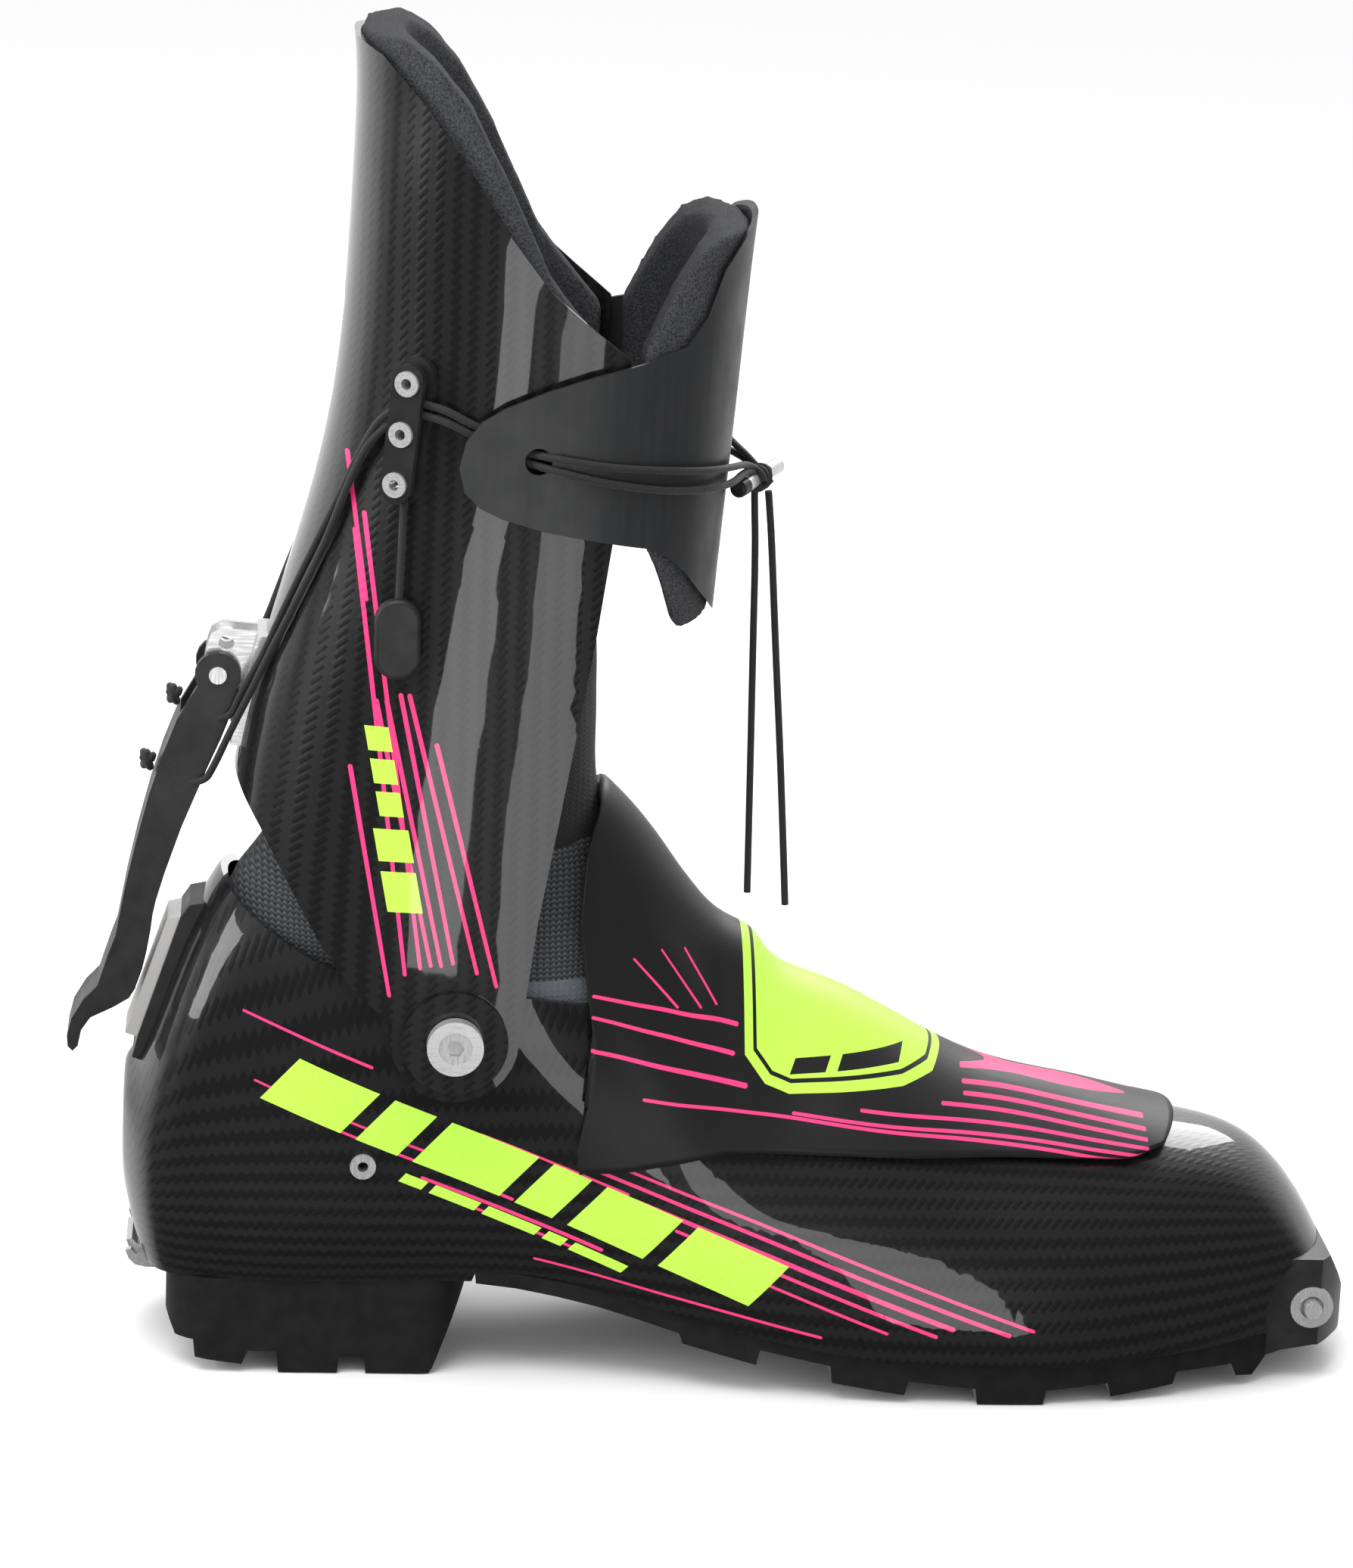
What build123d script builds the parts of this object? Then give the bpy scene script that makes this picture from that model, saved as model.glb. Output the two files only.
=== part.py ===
from build123d import *
import os
from math import cos, pi, radians, sin, sqrt, tan

# Alpine touring race boot, right foot, in millimetres.
# +X runs to the toe, +Z up, and the outer side of the foot faces -Y.
# The origin is on the ground, under the middle of the boot's outer box.

# ---- driving dimensions ------------------------------------------------------
SHELL_WALL = 1.8          # carbon lower shell
CUFF_WALL = 1.6           # carbon cuff
TONGUE_WALL = 1.3         # plastic tongue plate
GAITER_GAP = 0.3          # gaiter's inside, above the shell
GAITER_OUT = 1.6          # gaiter's outside, above the shell
LINER_GAP = 0.8           # inner boot's outside, below the shell's inside
LINER_WALL = 3.0
CUFF_PAD = 10.5           # foam inside the cuff's spoiler
TONGUE_PAD = 10.5         # foam inside the tongue plate
HEEL_TOP = 24.5           # where the heel block meets the shell
CORD_D = 1.8              # closing cord
PIVOT = (-67.4, 91.3)     # cuff pivot axis in side view (X, Z)
LOBE_R = 15.5             # cuff's round ends at the pivot
PIVOT_PIN_R = 4.0
RUNNING = 0.05            # radial clearance of the moving joints
LEVER_PIN = (-125.8, 171.3)
LEVER_PIN_R = 2.15
LEVER_HALF = 8.4          # half of the lever's width
EAR_OUT = 5.6             # bracket's ears, outside and inside, from the middle
EAR_IN = 3.6
TOE_PIN = (149.0, 19.3)   # axis of the binding's toe sockets
TOE_HALF = 28.0           # half of the toe block's width at the sockets
CUFF_POWER = 2.5          # superellipse exponent of the cuff's plan
TONGUE_POWER = 2.4

# ---- lower shell form --------------------------------------------------------
# Frontal sections from heel to toe: x, then the half outline (y, z) from the
# bottom centre round to the top centre.
SHELL_SECTIONS = [
    (-147.2, [(0, 45), (5, 46.5), (7.5, 50), (8.5, 54), (7.5, 58), (5, 61.5), (0, 63)]),
    (-144.0, [(0, 30), (14, 31.5), (19, 40), (20, 52), (18, 63), (11, 72), (0, 75)]),
    (-138.0, [(0, 21), (22, 22), (28, 33), (29, 50), (26.5, 68), (18, 84), (0, 89.5)]),
    (-128.0, [(0, 19.5), (26, 21), (32, 31), (33, 50), (31, 74), (25, 100), (0, 115.5)]),
    (-110.0, [(0, 19), (28, 20.5), (34.2, 31), (35.3, 50), (34.5, 78), (30, 108), (0, 136)]),
    (-90.0, [(0, 19), (28, 20.5), (34.2, 31), (36.2, 52), (38.5, 82), (36, 112), (0, 144)]),
    (-67.4, [(0, 19), (27, 20.5), (33.5, 31), (36.5, 55), (41, 86), (38.5, 114), (0, 150)]),
    (-45.0, [(0, 18), (27, 19.5), (34, 29), (38, 52), (40.3, 80), (36.5, 112), (0, 151)]),
    (-28.0, [(0, 13), (28.5, 14.5), (36.5, 25), (40.5, 45), (38.7, 76), (27.5, 112), (0, 141)]),
    (-12.0, [(0, 8), (30.5, 9.5), (39, 19), (43, 39), (39.5, 68), (24, 100), (0, 121)]),
    (2.0, [(0, 4), (32, 5.5), (41.3, 15), (45.2, 34), (40, 60), (24, 87), (0, 104)]),
    (30.0, [(0, -2), (35, -0.5), (45.5, 9), (48.7, 27), (43, 51), (25, 76), (0, 90)]),
    (60.0, [(0, -4), (36, -2.5), (47, 7), (49.7, 25), (43.5, 46), (26, 63), (0, 74)]),
    (90.0, [(0, -3), (35, -1.5), (45.5, 7), (48, 24), (42.5, 42), (26, 57), (0, 66)]),
    (115.0, [(0, 0), (31, 1.5), (39.5, 9), (42, 24), (37.5, 40), (23, 54), (0, 60)]),
    (132.0, [(0, 4), (27, 5.5), (33.5, 12), (35.5, 25), (32, 38), (20, 50), (0, 56)]),
    (144.0, [(0, 8), (21, 9), (27.5, 14), (29.5, 22), (27, 32), (17, 42), (0, 46.5)]),
    (151.0, [(0, 10), (17, 11), (23, 14), (24.5, 19.5), (22.5, 26), (14, 33.5), (0, 36.5)]),
    (156.0, [(0, 12), (11, 13), (15.5, 15), (17, 18), (15.5, 21.5), (10, 25.5), (0, 27)]),
    (158.5, [(0, 14), (4, 14.7), (6.5, 16), (7.5, 18), (6.5, 20), (4, 21.8), (0, 22.5)]),
]
FORM_MIDDLE = 5.0
FORM_HALF_LENGTH = 153.0

# ---- cuff, tongue and inner boot forms ---------------------------------------
# Level sections: z, rearmost x, x of the widest place, half width.
CUFF_LEVELS = [
    (60, -118.0, -67.4, 44.8), (91.3, -121.5, -67.4, 44.8), (118, -123.5, -66.5, 44.4),
    (148, -121.5, -64.0, 43.0), (180, -114.5, -60.0, 42.4), (210, -106.0, -56.0, 42.8),
    (240, -99.8, -52.0, 43.4), (270, -97.0, -50.0, 44.4), (300, -95.8, -49.5, 45.4),
    (336, -97.8, -49.5, 46.2),
]
# Level sections: z, foremost x, half width.  The wings run straight back.
TONGUE_WIDEST = -52.0
TONGUE_BACK = -80.0
TONGUE_LEVELS = [
    (184, -6.8, 45.8), (215, -4.8, 46.4), (240, -3.0, 47.0), (265, -1.3, 47.3), (296, 1.3, 47.5),
]
# Level sections: z, rearmost x, foremost x, half width.
LINER_LEVELS = [
    (95, -127, -32, 35.5), (120, -121, -28, 33.0), (135, -112, -31, 32.5),
    (155, -106, -33, 33.0), (185, -101, -34, 33.5), (232, -89, -34, 34.5),
]


def shell_form(shrink):
    """The closed body of the lower shell, drawn in all round by shrink."""
    with BuildPart() as form:
        for x, half in SHELL_SECTIONS:
            middle_z = (half[0][1] + half[-1][1]) / 2
            half_height = (half[-1][1] - half[0][1]) / 2
            half_width = max(y for y, _ in half)
            scale_y = 1 - shrink / half_width
            scale_z = 1 - shrink / half_height
            near = [(y * scale_y, middle_z + (z - middle_z) * scale_z) for y, z in half]
            far = [(-y, z) for y, z in near[-2:0:-1]]
            moved_x = FORM_MIDDLE + (x - FORM_MIDDLE) * (1 - shrink / FORM_HALF_LENGTH)
            with BuildSketch(Plane.YZ.offset(moved_x)):
                with BuildLine():
                    Spline(*near, *far, periodic=True)
                make_face()
        loft()
    return form.part


def superellipse(middle, reach, half_width, power, steps=24):
    """Plan points of a superellipse about (middle, 0)."""
    ring = []
    for i in range(steps):
        turn = 2 * pi * i / steps
        along = abs(cos(turn)) ** (2 / power) * (1 if cos(turn) >= 0 else -1)
        across = abs(sin(turn)) ** (2 / power) * (1 if sin(turn) >= 0 else -1)
        ring.append((middle + reach * along, half_width * across))
    return ring


def cuff_form(shrink):
    """The closed body of the cuff, drawn in all round by shrink."""
    with BuildPart() as form:
        for z, rear, middle, half_width in CUFF_LEVELS:
            with BuildSketch(Plane.XY.offset(z)):
                with BuildLine():
                    ring = superellipse(middle, middle - rear - shrink, half_width - shrink, CUFF_POWER)
                    Spline(*ring, periodic=True)
                make_face()
        loft()
    return form.part


def tongue_form(shrink):
    """The U-shaped body of the tongue plate, drawn in all round by shrink."""
    with BuildPart() as form:
        for z, front, half_width in TONGUE_LEVELS:
            reach = front - TONGUE_WIDEST - shrink
            side = half_width - shrink
            ring = superellipse(TONGUE_WIDEST, reach, side, TONGUE_POWER, 32)
            nose = ring[-7:] + ring[:8]
            with BuildSketch(Plane.XY.offset(z)):
                with BuildLine():
                    Line((TONGUE_BACK, -side), (TONGUE_WIDEST, -side))
                    Spline((TONGUE_WIDEST, -side), *nose, (TONGUE_WIDEST, side),
                           tangents=[(1, 0), (-1, 0)])
                    Line((TONGUE_WIDEST, side), (TONGUE_BACK, side))
                    Line((TONGUE_BACK, side), (TONGUE_BACK, -side))
                make_face()
        loft()
    return form.part


def leg_form(shrink):
    """The inner boot's leg, drawn in all round by shrink."""
    with BuildPart() as form:
        for z, rear, front, half_width in LINER_LEVELS:
            with BuildSketch(Plane.XY.offset(z)):
                with Locations(((rear + front) / 2, 0)):
                    Ellipse((front - rear) / 2 - shrink, half_width - shrink)
        loft()
    return form.part


def cuff_side(x, z):
    """Half width of the cuff's outside at x and level z, and its slope there."""
    below = max(row for row in CUFF_LEVELS if row[0] <= z)
    above = min(row for row in CUFF_LEVELS if row[0] > z)
    share = (z - below[0]) / (above[0] - below[0])
    rear, middle, half_width = [below[i] + share * (above[i] - below[i]) for i in (1, 2, 3)]
    reach = middle - rear
    across = abs(x - middle) / reach
    height = (1 - across ** CUFF_POWER) ** (1 / CUFF_POWER)
    slope = half_width / reach * (across / height) ** (CUFF_POWER - 1)
    return half_width * height, slope


def side_cut(outline):
    """The inside of a side-view outline, as a bar right through the boot."""
    with BuildPart() as bar:
        with BuildSketch(Plane.XZ):
            with BuildLine():
                Polyline(*outline, close=True)
            make_face()
        extrude(amount=80, both=True)
    return bar.part


# ---- side-view lines ---------------------------------------------------------
# Underside of the carbon shell, from heel to toe, where the rubber starts.
SHELL_UNDERSIDE = [
    (-160, HEEL_TOP), (-61, HEEL_TOP), (-60, 28), (-50, 27.4), (-40, 26), (-30, 24.3), (-20, 22),
    (-8, 19), (8, 16), (24, 13.2), (42, 11.2), (60, 10.2), (80, 10.3), (100, 11.3), (116, 12),
    (133, 13.6), (165, 13.6),
]
# Rim of the shell's opening, from the heel forward over the instep.
SHELL_RIM = [
    (-124.8, 122), (-119, 117), (-112, 112.5), (-103, 108), (-93, 105), (-80, 103), (-67, 102),
    (-50, 101), (-33, 98), (-18, 92), (0, 84), (18, 80), (30, 82), (36, 96),
]


def below_underside(rise):
    """Everything under the shell's underside, with that line moved up by rise."""
    return side_cut([(x, z + rise) for x, z in SHELL_UNDERSIDE] + [(165, -20), (-160, -20)])


def inside_shell(gap):
    """The space inside the closed lower shell, drawn in by a further gap."""
    with BuildPart() as space:
        add(shell_form(SHELL_WALL + gap))
        add(below_underside(SHELL_WALL + gap), mode=Mode.SUBTRACT)
    return space.part


outer_cuff = cuff_form(0)

# ---- lock screws -------------------------------------------------------------
LOCK_MIDDLE = (-140.6, 94.5)
LOCK_LENGTH = 31.3
LOCK_ALONG = (-0.316, -0.949)       # down the heel, in side view
LOCK_OUT = (-0.949, 0.316)          # square to the lock plate, rearward

with BuildPart() as lock_screws:
    for step in (-8.5, 8.5):
        foot = (LOCK_MIDDLE[0] + step * LOCK_ALONG[0], 0, LOCK_MIDDLE[1] + step * LOCK_ALONG[1])
        seat = Plane(origin=foot, x_dir=(0, 1, 0), z_dir=(LOCK_OUT[0], 0, LOCK_OUT[1]))
        with BuildSketch(seat.offset(-6.3)):
            Circle(1.6)
        extrude(amount=7)
        with BuildSketch(seat.offset(-0.4)):
            Circle(1.6)
        extrude(amount=1.8, taper=-42)
        with BuildSketch(seat.offset(1.4)):
            RegularPolygon(1.4, 6)
        extrude(amount=-1.0, mode=Mode.SUBTRACT)

# ---- lower shell -------------------------------------------------------------
RIVET_PLACE = (-88.5, 56.5)
RIVET_OUT_R = 3.15
RIVET_BORE_R = 1.3
RIVET_SHANK_R = 2.0
TOE_POCKET_R = 12.6       # round pocket about the toe socket
TOE_BAR_R = 3.0
SHOE_TOP = 175

with BuildPart() as shell_outside:
    add(shell_form(0))
    add(below_underside(0), mode=Mode.SUBTRACT)
    for side in (-1, 1):
        with Locations(Location((TOE_PIN[0], side * 38, TOE_PIN[1]), (90, 0, 0))):
            Cylinder(TOE_POCKET_R, 40, mode=Mode.SUBTRACT)

with BuildPart() as lower_shell:
    add(shell_outside.part)
    add(inside_shell(0), mode=Mode.SUBTRACT)
    add(side_cut([(-160, 122)] + SHELL_RIM + [(36, SHOE_TOP), (-160, SHOE_TOP)]), mode=Mode.SUBTRACT)
    with Locations(Location((PIVOT[0], 0, PIVOT[1]), (90, 0, 0))):
        Cylinder(PIVOT_PIN_R, 120, mode=Mode.SUBTRACT)
    with Locations(Location((RIVET_PLACE[0], 0, RIVET_PLACE[1]), (90, 0, 0))):
        Cylinder(RIVET_SHANK_R, 120, mode=Mode.SUBTRACT)
    with Locations((-118, 0, 25)):
        Cylinder(2.5, 6, mode=Mode.SUBTRACT)
    add(lock_screws.part, mode=Mode.SUBTRACT)

# ---- soles -------------------------------------------------------------------
HEEL_BLOCK = [
    (-136, HEEL_TOP), (-136, 13), (-133.5, 8), (-129, 8), (-128.5, 3.5), (-117, 2), (-115.5, 5.5),
    (-108.5, 5.5), (-108, 0), (-93.5, 0), (-93, 5), (-87, 5), (-86.5, 0), (-71, 0), (-70, 1.5),
    (-66, 12), (-61.5, HEEL_TOP),
]
FOREFOOT_UNDER = [
    (-60, 24.5), (-50, 23.6), (-40, 22), (-30, 20), (-20, 17.4), (-10, 14.6), (-9, 12), (9, 8), (9.8, 12),
    (27, 9), (27.6, 4.6), (45.5, 2), (46.4, 5.6), (63, 4), (63.6, 0), (80, 0), (80.6, 3.6),
    (96, 5), (97, 1.4), (113, 3.2), (114, 6.4), (128.5, 6.4), (130, 3), (134.5, 2.2), (138, 6.4),
]
HEEL_MIDDLE = -98.7
HEEL_LENGTH = 74.6
HEEL_WIDTH = 61
FITTING_HALF = 15         # half width of the heel's steel fitting

FITTING_SCREW_X = -118
FITTING_SCREW_R = 2.5

with BuildPart() as heel_sole:
    with BuildSketch():
        with Locations((HEEL_MIDDLE, 0)):
            RectangleRounded(HEEL_LENGTH, HEEL_WIDTH, 12)
    extrude(amount=HEEL_TOP)
    add(side_cut(HEEL_BLOCK), mode=Mode.INTERSECT)
    with Locations((HEEL_MIDDLE, 0, 1)):
        Box(HEEL_LENGTH + 4, 9, 9, mode=Mode.SUBTRACT)
    with Locations((-124, 0, HEEL_TOP)):
        Box(34, 2 * FITTING_HALF + 0.4, 7, mode=Mode.SUBTRACT)
    with Locations((FITTING_SCREW_X, 0, 10)):
        Cylinder(4.8, 24, mode=Mode.SUBTRACT)

# Plan of the forefoot sole: x and half width, from the waist to the toe.
FOREFOOT_PLAN = [
    (-60, 32), (-44, 33.4), (-28, 35.5), (-12, 38.2), (2, 41), (30, 45.2), (60, 46.4), (90, 45.2), (115, 39.2),
    (128, 34.2), (138, 28.5),
]

with BuildPart() as forefoot_sole:
    with BuildSketch(Plane.XY.offset(-1)):
        with BuildLine():
            Spline(*FOREFOOT_PLAN)
            Line((138, 28.5), (138, -28.5))
            Spline(*[(x, -y) for x, y in FOREFOOT_PLAN[::-1]])
            Line((-60, -32), (-60, 32))
        make_face()
    extrude(amount=30)
    top_line = [point for point in SHELL_UNDERSIDE if -61 < point[0] < 135] + [(138, 13.6)]
    add(side_cut(FOREFOOT_UNDER + top_line[::-1]), mode=Mode.INTERSECT)
    with Locations((36, 0, 0)):
        Box(90, 8, 10, mode=Mode.SUBTRACT)

# ---- toe ---------------------------------------------------------------------
TOE_SIDE = [
    (133, 13.6), (138, 13.6), (138, 6.4), (142, 7.8), (150, 9.3), (156, 9.3), (160.5, 8), (162, 9),
    (161.5, 13), (160, 18.5), (157, 25), (153.5, 31.9), (133, 31.9),
]

with BuildPart() as toe_block:
    with BuildSketch(Plane.XY.offset(5)):
        with BuildLine():
            Line((132, TOE_HALF), (132, -TOE_HALF))
            Line((132, -TOE_HALF), (151, -TOE_HALF))
            ThreePointArc((151, -TOE_HALF), (161.1, 0), (151, TOE_HALF))
            Line((151, TOE_HALF), (132, TOE_HALF))
        make_face()
    extrude(amount=30)
    add(side_cut(TOE_SIDE), mode=Mode.INTERSECT)
    add(shell_outside.part, mode=Mode.SUBTRACT)
    with Locations(Location((TOE_PIN[0], 0, TOE_PIN[1]), (90, 0, 0))):
        Cylinder(TOE_BAR_R + RUNNING, 80, mode=Mode.SUBTRACT)
    for side in (-1, 1):
        with Locations(Location((TOE_PIN[0], side * (TOE_HALF - 0.4), TOE_PIN[1]), (90, 0, 0))):
            Cylinder(5.5, 1.6, mode=Mode.SUBTRACT)

# One steel bar runs across the toe.  Its ends are the round plates with the
# sockets that the binding's pins grip.
with BuildPart() as toe_insert:
    with Locations(Location((TOE_PIN[0], 0, TOE_PIN[1]), (90, 0, 0))):
        Cylinder(TOE_BAR_R, 2 * TOE_HALF - 2)
    for side in (-1, 1):
        with Locations(Location((TOE_PIN[0], side * (TOE_HALF - 0.45), TOE_PIN[1]), (90, 0, 0))):
            Cylinder(5.4, 1.5)
        with Locations(Location((TOE_PIN[0], side * (TOE_HALF - 0.5), TOE_PIN[1]), (90, 0, 0))):
            Cylinder(2.95, 2.4, mode=Mode.SUBTRACT)
        with Locations(Location((TOE_PIN[0], side * (TOE_HALF + 0.2), TOE_PIN[1]), (90, 0, 0))):
            Cylinder(2.2, 5)
        for turn in range(4):
            dimple = Location((TOE_PIN[0], side * (TOE_HALF + 0.3), TOE_PIN[1]), (90, 20 + 90 * turn, 0))
            with Locations(dimple * Location((4.0, 0, 0))):
                Cylinder(0.75, 0.8, mode=Mode.SUBTRACT)

# ---- heel fitting and lock ---------------------------------------------------
HEEL_FITTING = [
    (-141, 21.2), (-143.8, 21.8), (-145.4, 23.4), (-146.2, 25.6), (-144.8, 26), (-143.4, 24.4),
    (-141, 24.2), (-108.5, 24.3), (-108.5, 21.2),
]
LOCK_PLATE = [(-133.9, 110), (-137.2, 109.2), (-147.1, 79.8), (-144.1, 78.9)]
LOCK_PAD = [(-128, 114), (-131.8, 113.2), (-133.9, 110), (-144.1, 78.9), (-145.3, 74), (-140, 72)]
LOCK_HALF = 9

with BuildPart() as heel_fitting:
    with BuildSketch(Plane.XZ):
        with BuildLine():
            Polyline(*HEEL_FITTING, close=True)
        make_face()
    extrude(amount=FITTING_HALF, both=True)
    for side in (-1, 1):
        with Locations((-143, side * 10.5, 23)):
            Box(9, 5.4, 8, mode=Mode.SUBTRACT)
    with Locations((FITTING_SCREW_X, 0, 23)):
        Cylinder(FITTING_SCREW_R, 8, mode=Mode.SUBTRACT)

with BuildPart() as heel_fitting_screw:
    with Locations((FITTING_SCREW_X, 0, 23.5)):
        Cylinder(FITTING_SCREW_R, 7)
    with Locations((FITTING_SCREW_X, 0, 20.1)):
        Cylinder(4.5, 2.2)
    with BuildSketch(Plane.XY.offset(19)):
        with Locations((FITTING_SCREW_X, 0)):
            RegularPolygon(2, 6)
    extrude(amount=1.2, mode=Mode.SUBTRACT)

with BuildPart() as lock_plate:
    with BuildSketch(Plane.XZ):
        with BuildLine():
            Polyline(*LOCK_PLATE, close=True)
        make_face()
    extrude(amount=LOCK_HALF - 1.2, both=True)
    add(lock_screws.part, mode=Mode.SUBTRACT)

with BuildPart() as lock_pad:
    with BuildSketch(Plane.XZ):
        with BuildLine():
            Polyline(*LOCK_PAD, close=True)
        make_face()
    extrude(amount=LOCK_HALF, both=True)
    add(shell_form(0), mode=Mode.SUBTRACT)
    add(lock_screws.part, mode=Mode.SUBTRACT)

with BuildPart() as shell_rivets:
    for side in (-1, 1):
        with Locations(Location((RIVET_PLACE[0], side * 35.9, RIVET_PLACE[1]), (90, 0, 0))):
            Cylinder(RIVET_SHANK_R, 2.8)
        with Locations(Location((RIVET_PLACE[0], side * 37.3, RIVET_PLACE[1]), (90, 0, 0))):
            Cylinder(RIVET_OUT_R, 0.9)
        with Locations(Location((RIVET_PLACE[0], side * 35, RIVET_PLACE[1]), (90, 0, 0))):
            Cylinder(RIVET_BORE_R, 12, mode=Mode.SUBTRACT)

# ---- inner boot, insole and gaiter -------------------------------------------
LINER_TOE = 133
INSOLE_THICK = 3


def liner_space(gap, toe):
    """The space inside the lower shell as far forward as toe."""
    with BuildPart() as space:
        add(inside_shell(gap))
        with Locations((toe + 50, 0, 50)):
            Box(100, 120, 120, mode=Mode.SUBTRACT)
    return space.part


with BuildPart() as inner_boot:
    add(liner_space(LINER_GAP, LINER_TOE))
    add(leg_form(0))
    add(liner_space(LINER_GAP + LINER_WALL, LINER_TOE - LINER_WALL), mode=Mode.SUBTRACT)
    add(leg_form(LINER_WALL), mode=Mode.SUBTRACT)
    for side in (-1, 1):
        with Locations(Location((PIVOT[0], side * 42.2, PIVOT[1]), (90, 0, 0))):
            Cylinder(9, 9, mode=Mode.SUBTRACT)

with BuildPart() as insole:
    add(liner_space(LINER_GAP + LINER_WALL + 0.1, LINER_TOE - LINER_WALL - 1))
    add(below_underside(SHELL_WALL + LINER_GAP + LINER_WALL + INSOLE_THICK), mode=Mode.INTERSECT)

GAITER_SIDE = [
    (-29, 152), (-32.5, 142), (-37, 131), (-38.5, 117), (-36, 101), (-34, 90), (-35, 75), (-37.5, 62),
    (-36.5, 56), (-20, 57), (2, 62), (30, 61), (60, 59), (90, 57.2), (101, 56.6), (107, 57), (112, 58.8),
    (115.5, 62), (115.5, 80), (20, 160),
]

with BuildPart() as gaiter:
    add(shell_form(-GAITER_OUT))
    add(shell_form(-GAITER_GAP), mode=Mode.SUBTRACT)
    add(side_cut(GAITER_SIDE), mode=Mode.INTERSECT)

# ---- cuff pivot --------------------------------------------------------------
BOSS_R = 12.8
BOSS_OUT = 46.5
CAP_R = 6.8
CAP_OUT = 50.4


def on_pivot(distance):
    """The pivot axis at a distance out from the boot's middle, both sides."""
    return [Location((PIVOT[0], side * distance, PIVOT[1]), (90, 0, 0)) for side in (-1, 1)]


with BuildPart() as pivot_barrels:
    with Locations(*on_pivot(42.5)):
        Cylinder(PIVOT_PIN_R - RUNNING, 9)
    with Locations(*on_pivot(38.6)):
        Cylinder(8, 1.2)
    add(lower_shell.part, mode=Mode.SUBTRACT)
    with Locations(*on_pivot(43)):
        Cylinder(2.5, 14, mode=Mode.SUBTRACT)

with BuildPart() as pivot_spacers:
    with Locations(*on_pivot(40.7)):
        Cylinder(9, 4)
    add(shell_form(0), mode=Mode.SUBTRACT)
    with Locations(*on_pivot(43)):
        Cylinder(PIVOT_PIN_R, 14, mode=Mode.SUBTRACT)

with BuildPart() as pivot_caps:
    with Locations(*on_pivot((CAP_OUT + 47) / 2)):
        Cylinder(CAP_R, CAP_OUT - 47)
    with Locations(*on_pivot(49.4)):
        Cylinder(4.1, 2, mode=Mode.SUBTRACT)
    with Locations(*on_pivot(47)):
        Cylinder(2.5, 6, mode=Mode.SUBTRACT)

with BuildPart() as pivot_screws:
    with Locations(*on_pivot(44.5)):
        Cylinder(2.5, 8)
    with Locations(*on_pivot(49.2)):
        Cylinder(4.1, 1.6)
    for side in (-1, 1):
        socket = Plane(origin=(PIVOT[0], side * 50, PIVOT[1]), x_dir=(1, 0, 0), z_dir=(0, -side, 0))
        with BuildSketch(socket):
            RegularPolygon(2.2, 6)
        extrude(amount=1.4, mode=Mode.SUBTRACT)

# ---- cuff --------------------------------------------------------------------
lobe = [
    (PIVOT[0] + LOBE_R * cos(radians(turn)), PIVOT[1] + LOBE_R * sin(radians(turn)))
    for turn in range(166, 370, 12)
]
CUFF_SIDE = [
    (-50.5, 103), (-48.5, 120), (-44, 146), (-40, 170), (-36.5, 192), (-33.5, 215), (-32, 236),
    (-31, 257.8), (-40, 265), (-50, 273.5), (-60, 286.5), (-68, 299), (-80, 315), (-90, 325), (-99, 328.5),
    (-140, 329), (-140, 148.5), (-121.6, 148.5), (-119, 144.5), (-115, 139), (-110, 130.5), (-105, 122),
    (-100, 113.5), (-92, 103),
]

with BuildPart() as bracket_rivets:
    for x, z in ((-117.6, 176), (-121.2, 160)):
        seat = Plane(origin=(x, 0, z), x_dir=(0, 1, 0), z_dir=(-0.975, 0, 0.223))
        with BuildSketch(seat.offset(-6)):
            Circle(1.6)
        extrude(amount=6)
        with BuildSketch(seat):
            Circle(2.6)
        extrude(amount=1.0)

# Guide plates hold the cord against the cuff.  Each lies on the cuff's side.
GUIDE_X = -81.6
GUIDE_Z = 239
guide_y, guide_slope = cuff_side(GUIDE_X, GUIDE_Z)
guide_tilt = sqrt(1 + guide_slope ** 2)
guide_seats = [
    Plane(origin=(GUIDE_X, side * guide_y, GUIDE_Z), x_dir=(0.12, 0, 1),
          z_dir=(-guide_slope / guide_tilt, side / guide_tilt, 0))
    for side in (-1, 1)
]
GUIDE_BASE = 1.2
GUIDE_GAP = 2.0
GUIDE_TOP = 1.7
RIVET_PITCH = 12.2

with BuildPart() as guide_rivets:
    for seat in guide_seats:
        with BuildSketch(seat.offset(-1.4)):
            with GridLocations(RIVET_PITCH, 1, 3, 1):
                Circle(1.9)
        extrude(amount=1.4 + GUIDE_BASE + GUIDE_GAP + GUIDE_TOP)
        with BuildSketch(seat.offset(GUIDE_BASE + GUIDE_GAP + GUIDE_TOP)):
            with GridLocations(RIVET_PITCH, 1, 3, 1):
                Circle(3.0)
        extrude(amount=0.8)
        with BuildSketch(seat.offset(-4)):
            with GridLocations(RIVET_PITCH, 1, 3, 1):
                Circle(1.3)
        extrude(amount=12, mode=Mode.SUBTRACT)

with BuildPart() as guide_bases:
    for seat in guide_seats:
        with BuildSketch(seat.offset(-4)):
            SlotOverall(36, 9.6)
        extrude(amount=4 + GUIDE_BASE)
        with BuildSketch(seat.offset(-5)):
            with GridLocations(RIVET_PITCH, 1, 3, 1):
                Circle(1.9)
        extrude(amount=8, mode=Mode.SUBTRACT)
    add(outer_cuff, mode=Mode.SUBTRACT)

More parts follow.
